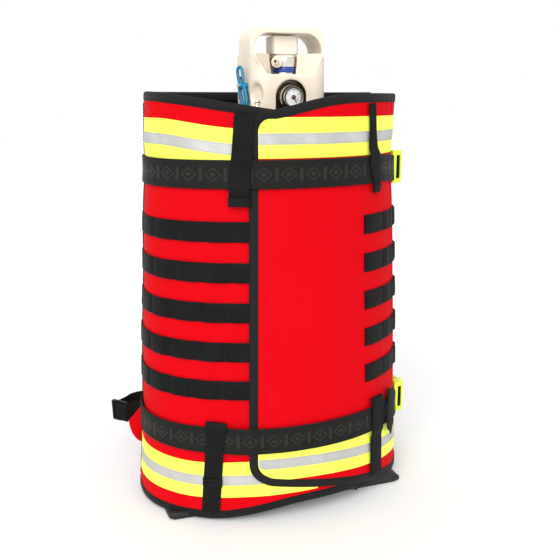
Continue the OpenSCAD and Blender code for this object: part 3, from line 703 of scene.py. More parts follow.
BIND_IN = BINDING_W / 2
CORNER_SPEED = speed(FLAP_EDGE + 6, MID_Z)
FLAP_START = FLAP_EDGE + CORNER_R / CORNER_SPEED + 0.6
RIM_PATH = [(a, rim(a) - BIND_IN) for a in np.linspace(BACK_EDGE - 0.5, WRAP_END, 150)]
HEM_PATH = [(a, left_hem(a) + BIND_IN) for a in np.linspace(WRAP_END, WRAP_START, 80)]
FLAP_HEM = [(a, flap_hem(a) + BIND_IN) for a in np.linspace(FLAP_END, FLAP_START, 70)]
FLAP_SIDE = [(FLAP_EDGE + BIND_IN / speed(FLAP_EDGE, z), z) for z in np.linspace(100, 470, 40)]
FLAP_RIM = [(a, rim(a) - BIND_IN) for a in np.linspace(FLAP_START, FLAP_END, 70)]
FLAP_PATH = FLAP_HEM + corner(-90, False) + FLAP_SIDE + corner(0, True) + FLAP_RIM
binding("rim_edge_binding", RIM_PATH, wrap_low, 0, ["rim_binding"])
binding("hem_edge_binding", HEM_PATH, -FABRIC_T, 0, ["hem_binding"])
binding("flap_edge_binding", FLAP_PATH, FLAP_LOW, FLAP_OUT, ["flap_binding"], step=2.4)
for path, out in ((RIM_PATH, 0), (HEM_PATH, 0), (FLAP_PATH, FLAP_OUT)):
    sew_wall(path, out + 0.62, offset=1.6 - BIND_IN)

# Side seams, where the front panels meet the back panel
for side, a, low, out in (("left", 180 - BACK_EDGE, 16, 0.2), ("right", BACK_EDGE, 20, 1.2)):
    seam_path = [(a, low), (a, 532)]
    band(side + "_seam_tape", seam_path, 15, out, 1.2, BIND, bow=lambda d, s: -0.06 * abs(s) if s > 0 else 0)
    for offset in (-5.5, 5.5):
        sew_wall(seam_path, out + 1.1, offset=offset)

# ---- Load webbing: rows of loops between bar tacks ----


def row_bow(columns):
    """The webbing's rise between its bar tacks, fullest away from the row's start."""
    def bow(d, s):
        near = min(abs(d - c) for c in columns)
        return (0.5 + 0.9 * smooth((d - 40) / 40)) * smooth((near - 1.2) / 9)
    return bow


def webbing_row(side, number, a0, a1, z, first, base):
    """One row; first is the distance from its start to a bar tack."""
    path = [(a0, z), (a1, z)]
    pts = trace(path, 1.0)
    columns = [c for c in (first + COLUMN_PITCH * i for i in range(9)) if 3 < c < pts[-1][2] - 3]
    band("%s_row_%d" % (side, number), path, WEBBING_W, base, 1.6, WEBBING,
         ["webbing_row_%s_%d" % (side, number)], bow=row_bow(columns), step=2.0)
    reach = WEBBING_W / 2 - 1
    for spot in (c + shift for c in columns for shift in (-1.3, 1.3)):
        # a bar tack is two upright lines of close stitches
        a = min(pts, key=lambda p: abs(p[2] - spot))[0]
        sew_wall([(a, z - reach), (a, z + reach)], base + 1.75, pitch=2.3, length=2.1, r=0.42)


LEFT_START, LEFT_END, RIGHT_START, RIGHT_END = 169, FLAP_EDGE - 0.05, 303, 369
for i in range(5):
    z = ROW_TOP - WEBBING_W / 2 - ROW_PITCH * i
    last = trace([(LEFT_START, z), (LEFT_END, z)])[-1][2] - 17.2 - 4.0 * i
    webbing_row("left", i + 1, LEFT_START, LEFT_END, z, last % COLUMN_PITCH, 0.25)
    webbing_row("right", i + 1, RIGHT_START, RIGHT_END, z, 3.4, FLAP_LIFT - 0.6)

# ---- Reflective tape: a yellow ground with a silver stripe sewn over its middle ----

SILVER_LOW, SILVER_HIGH = -7.2, 6.2
TAPE_HIGH, TAPE_FALL, TAPE_LOW, FLAP_TAPE_HIGH, FLAP_TAPE_LOW = 489.5, 12, 56, 491, 80


def left_upper_mid(a):
    return TAPE_HIGH - TAPE_FALL * smooth((a - 198) / 54)


def left_lower_mid(a):
    return TAPE_LOW + 3 * smooth((a - 220) / 30)


def flap_lower_mid(a):
    return FLAP_TAPE_LOW - 22 * smooth((a - 262) / 100)


def tape(name, a0, a1, yellow_mid, silver_mid, base, on_flap=False):
    """Yellow tape with silver along its middle, stitched along every edge."""
    def clipped(z, a, margin):
        """Keeps a line inside the flap's edge."""
        if not on_flap:
            return z
        inset = flap_inset(a, margin)
        return max(flap_hem(a) + inset, min(rim(a) - inset, z))

    def low(a):
        return clipped(yellow_mid(a) - TAPE_W / 2, a, UNDER)

    def high(a):
        return clipped(yellow_mid(a) + TAPE_W / 2, a, UNDER)

    def silver_low(a):
        return clipped(max(low(a), silver_mid(a) + SILVER_LOW), a, BINDING_W)

    def silver_high(a):
        return clipped(min(high(a), silver_mid(a) + SILVER_HIGH), a, BINDING_W)
    node = "tape_%s_%s" % tuple(name.split("_"))
    piece = name + "_tape"
    panel(piece, a0, a1, low, high, base, base + 0.45, YELLOW, [node], cols=80, rows=12)
    start = FLAP_EDGE + 3.9 if on_flap else a0 + 0.2
    panel(piece + "_silver", start, a1 - 0.1, silver_low, silver_high, base + 0.2, base + 0.75, SILVER,
          cols=80, rows=5)
    steps = np.linspace(start + 0.4, a1 - 0.5, 50)
    for edge in (SILVER_LOW + 0.9, SILVER_HIGH - 0.9):
        line = [(a, clipped(silver_mid(a) + edge, a, BINDING_W + 1)) for a in steps]
        sew_wall(line, base + 0.72, colour="silver", r=0.26)
    for edge, inward in ((low, 1.3), (high, -1.3)):
        line = [(a, clipped(edge(a) + inward, a, BINDING_W + 1.5)) for a in steps]
        sew_wall(line, base + 0.42, colour="yellow", r=0.3)


tape("upper_left", WRAP_START + 0.2, FLAP_EDGE + 0.5, left_upper_mid, left_upper_mid, 0.05)
tape("lower_left", WRAP_START + 0.2, 278, left_lower_mid, left_lower_mid, 0.02)
tape("upper_flap", FLAP_EDGE + 1.8, FLAP_END - 2.2, lambda a: FLAP_TAPE_HIGH, lambda a: FLAP_TAPE_HIGH - 0.5,
     FLAP_OUT + 0.05, True)
tape("lower_flap", FLAP_EDGE + 1.8, FLAP_END - 2.2, flap_lower_mid, flap_lower_mid, FLAP_OUT + 0.05, True)

# ---- Belts, keepers and the loose end ----

BELTS = (("upper", UPPER_BELT_Z, 4), ("lower", LOWER_BELT_Z, 8))
BELT_END = 343
for name, z, fall in BELTS:
    path = [(a, z - fall * smooth((a - 320) / 22)) for a in np.linspace(WRAP_START, BELT_END, 61)]
    band(name + "_belt", path, BELT_W, BELT_OUT, BELT_T, BELT, ["belt_" + name], riding=True,
         bow=lambda d, s: 0.35 * math.sin(d * 0.03) * (s / 17) + 0.25 * math.sin(d * 0.011 + 1))


def keeper(place, top, bottom, width, middle, low, rise, folded):
    """A strap over a belt: low on the panel, and risen over the belt, whose height is middle.

    Each fold is a turned-over end: a second layer from a part of the way down, wider by so much."""
    path, total = [top, bottom], trace([top, bottom], 2.0)[-1][2]

    def level(d):
        z = top[1] + (bottom[1] - top[1]) * d / total
        return low + rise * (1 - smooth((abs(z - middle) - BELT_W / 2) / 12))
    name = place + "_keeper"
    band(name, path, width, level, 1.7, WEBBING, ["keeper_" + place], riding=True, step=2.0)
    for end, wider in folded:
        a0, z0 = (t + (b - t) * end for t, b in zip(top, bottom))
        w, d0 = width(end) + wider, end * total
        band(name + "_fold_%d" % round(end * 10), [(a0, z0), (a0, z0 - 11)], w, lambda d: level(d0 + d) + 1.5,
             1.8, WEBBING, riding=True, step=2.0)
        reach = (w / 2 - 1.5) / speed(a0, z0)
        for drop in (2.5, 8.5):
            sew_wall([(a0 - reach, z0 - drop), (a0 + reach, z0 - drop)], lambda d: level(d0 + drop) + 3.4,
                     riding=True, pitch=2.5, length=2.3, r=0.4)
    for edge in (-1, 1):
        sew_wall(path, lambda d: level(d) + 1.6, riding=True, offset=edge * (width(0.3) / 2 - 2.2),
                 pitch=4.0, length=2.9, r=0.3)


def necked(t):
    """The upper right keeper's width: narrow at both ends."""
    return 13 + 8 * smooth(t * 2.4 - 0.6) - 8 * smooth((t - 0.78) / 0.1)


keeper("upper_left", (247, 519), (244.5, 411), lambda t: 23 + 2 * t, UPPER_BELT_Z, 1.4, 3.6, [(0.9, 1.4)])
keeper("upper_right", (308.8, 531), (311.2, 419), necked, UPPER_BELT_Z, 1.6, 3.4, [(0.9, 1.2)])
keeper("lower_left", (234.8, 137), (232.4, 15), lambda t: 24, LOWER_BELT_Z, 1.2, 3.6,
       [(0.0, 3.0), (0.62, 1.4)])
keeper("lower_right", (310.5, 142), (309.8, 30), lambda t: 25, LOWER_BELT_Z, 1.4, 3.4, [(0.0, 1.2)])
band("loose_belt_end", [(324, 142), (321.2, 122), (320.4, 100), (322.6, 75)],
     lambda t: 21 * (1 - 0.93 * smooth((t - 0.72) / 0.28)), 4.6, 1.8, WEBBING, ["belt_tail"], riding=True,
     bow=lambda d, s: 3.2 * math.sin(d * 0.045), step=2.0)

# ---- Buckles: the CAD shapes with their edges rounded ----


def evaluated(obj):
    bpy.context.view_layer.update()
    return bpy.data.meshes.new_from_object(obj.evaluated_get(bpy.context.evaluated_depsgraph_get()))


def applied(mesh, modifiers):
    """A new mesh: this one with modifiers, each a kind and its settings, applied to it."""
    scratch = linked("scratch", mesh)
    for kind, settings in modifiers:
        modifier = scratch.modifiers.new(kind, kind)
        for key, item in settings.items():
            setattr(modifier, key, item)
    result = evaluated(scratch)
    bpy.data.objects.remove(scratch)
    return result


def reworked(node, change, modifiers):
    """A CAD node's mesh, welded, changed and put through modifiers."""
    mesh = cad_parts[node].data.copy()
    bm = bmesh.new()
    bm.from_mesh(mesh)
    bmesh.ops.remove_doubles(bm, verts=bm.verts, dist=2e-6)
    if change:
        change(bm)
    bm.to_mesh(mesh)
    bm.free()
    return applied(mesh, modifiers)


def rounded(name, node, width, material, body, segments=3):
    """A CAD node with bevelled edges, as moulded or machined parts have."""
    def clean(bm):
        bmesh.ops.dissolve_limit(bm, angle_limit=math.radians(1.5), verts=bm.verts, edges=bm.edges)
    bevel = dict(width=width * MM, segments=segments, limit_method="ANGLE", angle_limit=math.radians(38),
                 harden_normals=True, use_clamp_overlap=True)
    return finish_mesh(name, reworked(node, clean, [("BEVEL", bevel)]), material, body, [node])


for level in ("upper", "lower"):
    rounded("tongue_" + level, "buckle_tongue_" + level, 3.4, BUCKLE, "carrier")
    rounded("receiver_" + level, "buckle_receiver_" + level, 1.8, BUCKLE, "receiver_" + level)
    for end in ("top", "bottom"):
        prong = "prong_%s_%s" % (level, end)
        rounded(prong + "_arm", prong, 0.8, BUCKLE, prong, 2)

# The webbing that holds each buckle: a flat run on the wall, and a loop through the tongue's slot
LOOP_PLAN = ((-2.4, -40), (-0.2, -32), (2.6, -24), (4.4, -17), (5.6, -10), (6.6, -4))
for level, height, fall in BELTS:
    z = height - fall
    band(level + "_buckle_anchor", [(-4, z), (24, z)], BELT_W - 4, FLAP_LIFT + 0.6, 1.8, WEBBING,
         ["buckle_anchors"] if level == "upper" else [])
    x = half_w(z) - 2.2
    ribbon(level + "_buckle_loop", [Vector((x + p, q, z)) for p, q in LOOP_PLAN], Z, 30, 1.5, WEBBING)
    slot_fill = [Vector((x + 12.2 + 0.24 * (q + 27), q, z)) for q in (-26.5, -25.5, -24, -22, -20, -18)]
    ribbon(level + "_buckle_slot_webbing", slot_fill, Z, 31, 3.6, WEBBING)

# ---- Base, with its soft corners ----


SHEET_HALF_X, SHEET_HALF_Y, SHEET_R, SHEET_X, FLOOR_TOP = 168, 86, 7, 1.5, 13.4


def at_height(p, z):
    return Vector((p.x, p.y, z))


def base_cover():
    """The coated sheet under the bag: out to a rounded rectangle, up round the hem and in over the floor."""
    rings, uvs = [], []
    for j in range(180):
        a = 2.0 * j
        top = wall(a, 14)
        hem = max(left_hem(a), 4) if WRAP_START < a < WRAP_END else max(flap_hem(a), 4) if a > WRAP_END else 6
        away = Vector((top.x - SHEET_X, top.y, 0)).normalized()
        # the rounded rectangle, met by a line from its middle
        reach = min(SHEET_HALF_X / max(abs(away.x), 1e-6), SHEET_HALF_Y / max(abs(away.y), 1e-6))
        near_corner = ((abs(away.x) * reach / SHEET_HALF_X) * (abs(away.y) * reach / SHEET_HALF_Y)) ** 6
        reach -= SHEET_R * 0.42 * near_corner
        edge = Vector((away.x * reach + SHEET_X, away.y * reach, 0))
        crumple = 1.6 * noise.noise(edge * 0.03) + 0.8 * noise.noise(edge * 0.09)
        ear = 6.0 * near_corner
        inner, pad = wall(a, hem + 6, -4), wall(a, 12, -15)
        shoulder = edge.lerp(at_height(inner, 0), 0.45)
        fold = 1.5 * math.sin(a * 0.55 + 2 * noise.noise(edge * 0.02)) * (0.3 + near_corner)
        ring = [Vector((0, 0, 0.3)), at_height(edge * 0.6, 0.3), at_height(edge * 0.985, 0.2),
                at_height(edge, 1.2 + ear * 0.25), at_height(edge * 0.998, 3.4 + ear + crumple),
                at_height(edge * 0.985, 4.6 + ear + crumple),
                at_height(shoulder, 5.6 + 0.35 * hem + ear * 0.5 + crumple + fold),
                at_height(inner, hem + 4), at_height(inner, hem + 7), wall(a, hem + 7, -6.5),
                at_height(pad, FLOOR_TOP - 0.9), at_height(pad * 0.95, FLOOR_TOP), Vector((0, 0, FLOOR_TOP))]
        rings.append(ring)
        uvs += [(j * 5.0, k * 12.0) for k in range(len(ring))]
    lofted("coated_base_cover", rings, uvs, BASE, ["base_panel"],
           closed=False, loop=True, merge=0.05, sharp=70)


base_cover()

# ---- Side tabs, adjuster webbing and ladder locks ----

LOCK_TURN, LOCK_Z, LOCK_DROP, SLOT_X, STRAP_END_X = math.radians(45), 105, 67, 7, 108
ADJUST_REACH, ADJUST_FORWARD, ADJUST_Y, ADJUST_Z = 105, 50.5, 104, 98
TAB_EDGE, TAB_W, TAB_Y = 15.8, 22.5, 38


def lock_height(side):
    return LOCK_Z - (LOCK_DROP if side > 0 else 0)


def adjuster_point(side, t):
    return Vector((side * (STRAP_END_X + ADJUST_REACH * t), ADJUST_Y - ADJUST_FORWARD * t * t,
                   ADJUST_Z + (lock_height(side) - ADJUST_Z) * math.sin(math.pi / 2 * t)))


def side_tab(side, word):
    """A red triangle in the side seam with a curved lower edge, hemmed."""
    low = max(2, lock_height(side) - 47)
    foot, outline = wall(TAB_EDGE, low, -3).x, []
    for t in np.linspace(0, 1, 15):
        outline.append((wall(TAB_EDGE, low + 62 - 30 * t, -3).x + TAB_W * t ** 1.02, low + 62 - 26 * t))
    for t in np.linspace(0, math.pi / 2, 16)[1:]:
        outline.append((foot + TAB_W * math.cos(t) ** 0.85, low + 36 - 36 * math.sin(t) ** 1.15 + 0.1))
    middle, rings = Vector((outline[0][0] + 6, low + 31)), []
    for inset, off in ((0.9, -1.5), (0.0, -0.9), (0.0, 0.9), (0.9, 1.5)):
        ring = []
        for p in map(Vector, outline):
            p += (middle - p).normalized() * inset
            ring.append(Vector((side * p.x, TAB_Y + off + 0.5 * math.sin((p.x + p.y) * 0.2), p.y)))
        rings.append(ring)
    uvs = [(v.x, v.z) for ring in rings for v in ring]
    lofted(word + "_side_tab", rings, uvs, RED, ["side_tabs"] if side < 0 else [])
    edge = [Vector((side * (x - 2.2), TAB_Y - 1.6, z + (1.5 if i > 14 else -1.8)))
            for i, (x, z) in enumerate(outline)]
    sew(edge[2:-2], [-Y] * (len(edge) - 4), colour="red", pitch=3.4, length=2.6, r=0.3)


WRAP_PLAN = ((-6, -3.2), (-3, -4.6), (6, -4.2), (10, -3.6), (12.8, -1.4),
             (12.8, 1.4), (10, 3.6), (4, 4.2), (-8, 3.6))


def ladder_lock(side, word):
    """A frame of five rounded bars, with the webbing doubled back over it."""
    local_x = Vector((math.cos(LOCK_TURN), side * math.sin(LOCK_TURN), 0))
    local_y = Z.cross(local_x)
    centre = adjuster_point(side, 1) - local_x * (side * SLOT_X)
    verts, faces = [], []

    def bar(points, thick):
        path = [centre + local_x * p + local_y * q + Vector((0, 0, h)) for p, q, h in points]
        rings = tube(path, thick, sides=12, squash=0.85, up=local_y)
        faces.extend(loft(rings, first=len(verts)))
        verts.extend(flat(rings))
    for x in (-11.2, 0, 11.2):
        bar([(x, 0, -13.5), (x, 0.4, -8), (x, 0.6, 0), (x, 0.4, 8), (x, 0, 13.5)], 2.0 if x else 1.6)
    for z in (-13.5, 13.5):
        bar([(-12.2, 0, z), (-6, 0.2, z), (0, 0.3, z), (6, 0.2, z), (12.2, 0, z)], 1.7)
    cover = [centre + local_x * (side * p) + local_y * q for p, q in WRAP_PLAN]
    ribbon(word + "_lock_wrap", cover, lambda i: Z + local_x * (side * 0.05 * (i - 3)), 26.5, 1.5, WEBBING)
    build(word + "_ladder_lock", verts, faces, [], BLACK_PLASTIC, ["ladder_locks"] if side < 0 else [])


def adjuster(side, word):
    """Webbing, twisted at the foot of the shoulder strap and flat where it goes through the lock's slot."""
    path = [adjuster_point(side, t) for t in np.linspace(0.03, 1.01, 40)]
    tip, outward = path[-1], (path[-1] - path[-2]).normalized()
    path += [tip + outward * 2.5, tip + outward * 3.6 + X * (side * 1.6)]

    def across(i):
        along = (path[min(i + 1, len(path) - 1)] - path[max(i - 1, 0)]).normalized()
        twist = -side * math.radians(70) * max(0, 1 - (1.2 * i / 39) ** 3)
        return Z * math.cos(twist) + along.cross(Z).normalized() * math.sin(twist)
    ribbon(word + "_adjuster_webbing", path, across, WEBBING_W, 1.7, WEBBING, ["adjuster_webbing_" + word])


def lock_loop(side, word):
    """The webbing that holds the lock to its side tab: out from the tab, round the inner bar and back."""
    z, root = lock_height(side), wall(TAB_EDGE, lock_height(side), 0).x
    bar_at = adjuster_point(side, 1)
    bar_at -= Vector((side * 2 * SLOT_X * math.cos(LOCK_TURN), 2 * SLOT_X * math.sin(LOCK_TURN), 0))
    ends = [Vector((side * (root + p), y, bar_at.z)) for p, y in ((4, 41), (12, 43), (10, 47.5), (3, 46))]
    round_bar_at = ((-3, -4.5), (1.0, -4.6), (3.4, -2.0), (2.6, 2.2), (-2, 4.0))
    path = ends[:2] + [bar_at + Vector((side * p, q, 0)) for p, q in round_bar_at] + ends[2:]
    ribbon(word + "_lock_loop", path, Z, WEBBING_W + 1, 1.6, WEBBING)


for side, word in ((-1, "left"), (1, "right")):
    for make in (side_tab, ladder_lock, adjuster, lock_loop):
        make(side, word)
# ---- Grab handle and back ----

HANDLE_Z = 512
GRIP = [(-1, .5), (-.96, .1), (-.8, -.1), (0, -.25), (.8, -.1), (.96, .1), (1, .5), (.96, .9), (.8, 1.1),
        (.3, 1.25), (-.3, 1.25), (-.8, 1.1), (-.96, .9)]
HANDLE_REACH, HANDLE_Y, HANDLE_OUT, HANDLE_SAG = 110, 83.5, 30, 3
handle = []
for u in np.linspace(0, 1, 41):
    arch = math.sin(math.pi * u)
    x, y = HANDLE_REACH * (u - 0.5), HANDLE_Y + HANDLE_OUT * arch ** 0.9
    handle.append(Vector((x, y, HANDLE_Z - HANDLE_SAG * arch)))
ribbon("grab_handle_grip", handle, Z, WEBBING_W, 3.6, WEBBING, ["grab_handle"], shape=GRIP)
for end, word in ((-1, "left"), (1, "right")):
    centre = 90 - end * math.degrees(math.asin(62 / half_w(HANDLE_Z))) * 0.93
    path = [(centre - 4, HANDLE_Z), (centre + 4, HANDLE_Z)]
    band("grab_handle_foot_" + word, path, WEBBING_W + 2, 0.3, 2.4, WEBBING)
    for z in (HANDLE_Z - 10, HANDLE_Z, HANDLE_Z + 10):
        sew_wall([(centre - 3.2, z), (centre + 3.2, z)], 2.8, pitch=2.6, length=2.3, r=0.42)

# ---- Padded pieces: swollen by the cloth simulation, then sewn into channels ----


def closed_box(rows, cols, spot):
    """A closed slab whose faces follow spot(u, v, w); w is 0 on the back face and 1 on the front."""
    across, down = ([k / count for k in range(count + 1)] for count in (cols, rows))
    rings = [[spot(u, t, 1) for u in across] + [spot(1 - u, t, 0) for u in across] for t in down]
    return flat(rings), loft(rings)


def points_of(mesh):
    """A mesh's points as an array, in metres."""
    points = np.zeros(len(mesh.vertices) * 3)
    mesh.vertices.foreach_get("co", points)
    return points.reshape(-1, 3)


def swell(mesh, cap, pressure):
    """Blows a closed mesh up as cloth, and lets no point move further than cap."""
    before = points_of(mesh)
    body = linked("swelling", mesh.copy())
    cloth = body.modifiers.new("cloth", "CLOTH")
    cloth.settings.use_pressure = True
    cloth.settings.uniform_pressure_force = pressure
    cloth.settings.effector_weights.gravity = 0
    cloth.settings.quality = 5
    cloth.settings.tension_stiffness = cloth.settings.compression_stiffness = 25
    cloth.point_cache.frame_start, cloth.point_cache.frame_end = 1, SWELL_FRAMES
    for f in range(1, SWELL_FRAMES + 1):
        bpy.context.scene.frame_set(f)
    move = points_of(evaluated(body)) - before
    size = np.linalg.norm(move, axis=1)
    move *= np.minimum(1, cap * MM / np.maximum(size, 1e-9))[:, None]
    mesh.vertices.foreach_set("co", (before + move).ravel())
    bpy.data.objects.remove(body)
    bpy.context.scene.frame_set(1)


SWELL_FRAMES, VOXEL = 20, 3.4


def padded_piece(name, verts, faces, nodes, channel, cap, pressure=4.0):
    """Remeshes a slab, lets the cloth swell it within a cap, subdivides it, and presses its channels in."""
    mesh = bpy.data.meshes.new(name)
    mesh.from_pydata([tuple(c * MM for c in v) for v in verts], [], faces)
    bm = bmesh.new()
    bm.from_mesh(mesh)
    bmesh.ops.recalc_face_normals(bm, faces=bm.faces)
    bm.to_mesh(mesh)
    bm.free()
    start = applied(mesh, [("REMESH", dict(mode="VOXEL", voxel_size=VOXEL * MM))])
    swell(start, cap, pressure)
    final = applied(start, [("SMOOTH", dict(factor=0.5, iterations=4)),
                            ("SUBSURF", dict(levels=1, render_levels=1))])
    points = np.array([channel(Vector(p)) for p in points_of(final) / MM])
    final.vertices.foreach_set("co", (points * MM).ravel())
    final.update()
    made = finish_mesh(name, final, MESH, "carrier", nodes)


PAD_LOW, PAD_HIGH, PAD_SPAN = 60, 470, 26
CHANNELS = [PAD_LOW + (PAD_HIGH - PAD_LOW) * k / 5 for k in range(1, 5)]


def pad_channel(p):
    """Presses the level seams of a back pad towards the panel."""
    near = min(abs(p.z - z) for z in CHANNELS)
    depth = 5.0 * math.exp(-(near / 5.5) ** 2)
    floor_y = half_d(False, p.z) * (1 - min(0.999, abs(p.x) / half_w(p.z)) ** 3) ** (1 / 3)
    return Vector((p.x, p.y - min(depth, max(0.0, p.y - floor_y - 2.8)), p.z))


def back_pad(word, start, nodes):
    """A swollen pad from an angle, with binding round its edge and stitches along its channels."""
    def pad_spot(u, t, w):
        taper = 1 - 0.10 * smooth((abs(t - 0.5) * 2 - 0.86) / 0.14)
        a = start + PAD_SPAN / 2 + PAD_SPAN * (u - 0.5) * taper
        crown = 4.4 + 1.8 * math.sin(math.pi * min(1, max(0, u))) ** 0.5
        return skin(a, PAD_LOW + 2 + (PAD_HIGH - PAD_LOW - 4) * t, 0.4 + crown * w)
    padded_piece(word + "_back_pad", *closed_box(60, 12, pad_spot), nodes, pad_channel, 5)
    a0, a1 = start + 0.4, start + PAD_SPAN - 0.4
    up, over = np.linspace(PAD_LOW, PAD_HIGH, 50), np.linspace(a0, a1, 14)
    outline = [(a0, z) for z in up] + [(a, PAD_HIGH) for a in over[1:]]
    outline += [(a1, z) for z in up[-2::-1]] + [(a, PAD_LOW) for a in over[-2:0:-1]]
    round_bar(word + "_pad_piping", [skin(a, z, 2.4) for a, z in outline], 2.3, BIND,
              weave=(5.0, 1.4), closed=True, up=Y)
    for z in CHANNELS:
        sew_wall([(start + 2.5, z), (start + 23.5, z)], 2.6)


back_pad("right", 57, ["back_pads"])
back_pad("left", 97, [])


def strap_point(side, u):
    """A point along the middle of a shoulder strap, from its top, 0, to its foot, 1."""
    return Vector((side * (42 + (STRAP_END_X - 42) * smooth(u)),
                   88 + STRAP_BOW * math.sin(math.radians(170 * u)) ** 0.8, 490 - 380 * u))


def strap_frame(side, u):
    along = (strap_point(side, min(1, u + 0.01)) - strap_point(side, max(0.0, u - 0.01))).normalized()
    normal = along.cross(X).normalized()
    return strap_point(side, u), normal if normal.y > 0 else -normal


def strap_width(u):
    return STRAP_W * (0.80 + 0.20 * smooth((u + 0.02) / 0.16)) * (1 - 0.42 * smooth((u - 0.86) / 0.14))


def strap_webbing(side, name, u0, u1):
    """Webbing along the outside of a shoulder strap, stitched down at its edges and ends."""
    path = [p + normal * 8.5 for p, normal in (strap_frame(side, u) for u in np.linspace(u0, u1, 40))]
    ribbon(name, path, X, WEBBING_W, 1.6, WEBBING)
    for edge in (-10.4, 10.4):
        sew([p + X * edge + Y * 0.95 for p in path], [Y] * len(path), pitch=4.0, length=3.0, r=0.32)
    for u in (u0 + 0.02, u1 - 0.02):
        p, normal = strap_frame(side, u)
        down = (strap_point(side, u + 0.01) - strap_point(side, u)).normalized()
        for shift in (-2.0, 0, 2.0):
            line = [p + normal * 9.5 + X * s + down * shift for s in np.linspace(-10.5, 10.5, 12)]
            sew(line, [normal] * 12, pitch=2.4, length=2.1, r=0.42)


def shoulder_strap(side, word):
    def strap_spot(v, t, w):
        u = 0.012 + 0.976 * t
        p, normal = strap_frame(side, u)
        crown = 2.2 * (1 - (2 * abs(v - 0.5)) ** 2.4)
        out = (3.2 + crown) * 0.8
        return p + X * ((v - 0.5) * (strap_width(u) - 4.6)) + normal * (out if w else -out)
    padded_piece(word + "_shoulder_pad", *closed_box(90, 14, strap_spot), ["shoulder_strap_" + word],
                 lambda p: p, 3.5, 3.0)
    for edge in (-1, 1):
        line = [strap_point(side, u) + X * (edge * (strap_width(u) / 2 - 2.2)) for u in np.linspace(0, 1, 90)]
        round_bar("%s_strap_piping_%s" % (word, "in" if edge == -side else "out"), line, 2.4, BIND,
                  weave=(4.6, 1.5), squash=1.3, up=Y)
    # the strap's foot runs on into the adjuster's webbing
    foot = [strap_point(side, u) for u in (0.93, 0.965, 1.0)]
    foot += [Vector((side * 108.5, 104, 102)), Vector((side * 110, 103.5, 93))]
    ribbon(word + "_strap_foot", foot, X, 24, 1.8, WEBBING)
    strap_webbing(side, word + "_strap_webbing_upper", 0.02, 0.33)
    strap_webbing(side, word + "_strap_webbing_lower", 0.55, 0.985)


shoulder_strap(-1, "left")
shoulder_strap(1, "right")

# ---- Straps inside ----

for z, word, nodes in ((165, "lower", ["inner_straps"]), (395, "upper", [])):
    rings, uvs = [], []
    for j, t in enumerate(turn(120)):
        out = Vector((math.cos(t), math.sin(t), 0))
        rings.append([Vector((AXIS_X, AXIS_Y, z + s * 15)) + out * (71.1 + 1.75 * h) for s, h in WEB])
        uvs += [(j * 3.77, s * 15) for s, h in WEB]
    lofted(word + "_inner_strap", rings, uvs, WEBBING, nodes, loop=True)

# ---- Cylinder and valve ----


KEPT_NODES = {"cylinder_shell": PAINT, "flow_spindle": STEEL, "guard_screws": STEEL, "gauge_lens": GLASS}
for node, material in KEPT_NODES.items():
    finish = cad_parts[node].data.materials
    finish.clear()
    finish.append(material)


def relaxed(mesh, rounds):
    """Evens out a dense mesh so that its edges turn over softly, as moulded ones do."""
    co, count = points_of(mesh), len(mesh.vertices)
    ends = np.zeros(len(mesh.edges) * 2, np.int64)
    mesh.edges.foreach_get("vertices", ends)
    a, b = ends[0::2], ends[1::2]
    degree = np.bincount(ends, minlength=count)[:, None]
    for _ in range(rounds):
        total = np.zeros_like(co)
        np.add.at(total, a, co[b])
        np.add.at(total, b, co[a])
        co = 0.45 * co + 0.55 * total / degree
    return co


def moulded_guard():
    """The guard with soft edges, and a scallop in its front left corner, where a pin stands."""
    mesh = reworked("valve_guard", None, [("REMESH", dict(mode="VOXEL", voxel_size=0.0011))])
    co, low = relaxed(mesh, 4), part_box("valve_guard")[0]
    hollow = np.array([low.x + 0.002, low.y + 0.001, 0.541])
    reach = np.array([0.009, 0.013, 0.015])
    near = 1 / (1 + np.exp(11 * (np.sqrt((((co - hollow) / reach) ** 2).sum(axis=1)) - 1)))
    co[:, :2] += 0.004 * near[:, None]
    mesh.vertices.foreach_set("co", co.ravel())
    mesh.update()
    finish_mesh("guard_moulding", mesh, IVORY, "cylinder", ["valve_guard"])


moulded_guard()
# The knob takes the lighter ivory copy, painted light against its shade.
rounded("knob_block", "flow_knob", 2.6, LIT_IVORY_COPY, "knob", 4)
rounded("regulator_column", "regulator_body", 0.7, CHROME, "cylinder")
rounded("outlet_barb", "hose_barb", 0.5, IVORY, "cylinder", 2)
rounded("blue_ring", "colour_ring", 1.0, BLUE, "cylinder")
# The gauge's case takes the chrome painted dark: painted shade and painted reflection in its recess.
rounded("gauge_housing", "gauge_case", 0.9, SHADED_CHROME, "cylinder")
rounded("gauge_face", "gauge_dial", 0.2, DIAL, "cylinder", 2)
rounded("gauge_pointer", "gauge_needle", 0.15, INK, "needle", 2)

PIN = [(0.02, 0), (2.0, 0), (2.0, 4), (1.3, 4.6), (1.3, 7.2), (2.4, 7.8), (2.6, 9.4), (2.0, 10.6), (0.02, 11)]
guard_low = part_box("valve_guard")[0] / MM
pin_foot = Vector((guard_low.x + 5.5, guard_low.y + 4.0, 524))
turned("guard_pin", PIN, pin_foot, (X, Y, Z), CHROME, "cylinder", 32)
HOOK_R = 3.2
hook_middle = pin_foot + Vector((0, -1.2, 7))
hook = [hook_middle + (X * math.cos(t) + Z * math.sin(t)) * HOOK_R for t in np.linspace(-0.4, 3.6, 20)]
round_bar("guard_pin_hook", hook, 0.7, STEEL, body="cylinder")

# Raised tapering grip marks on the knob's front
BLOCK_FACES = ((0, 1, 3, 2), (4, 6, 7, 5), (0, 4, 5, 1), (2, 3, 7, 6), (0, 2, 6, 4), (1, 5, 7, 3))


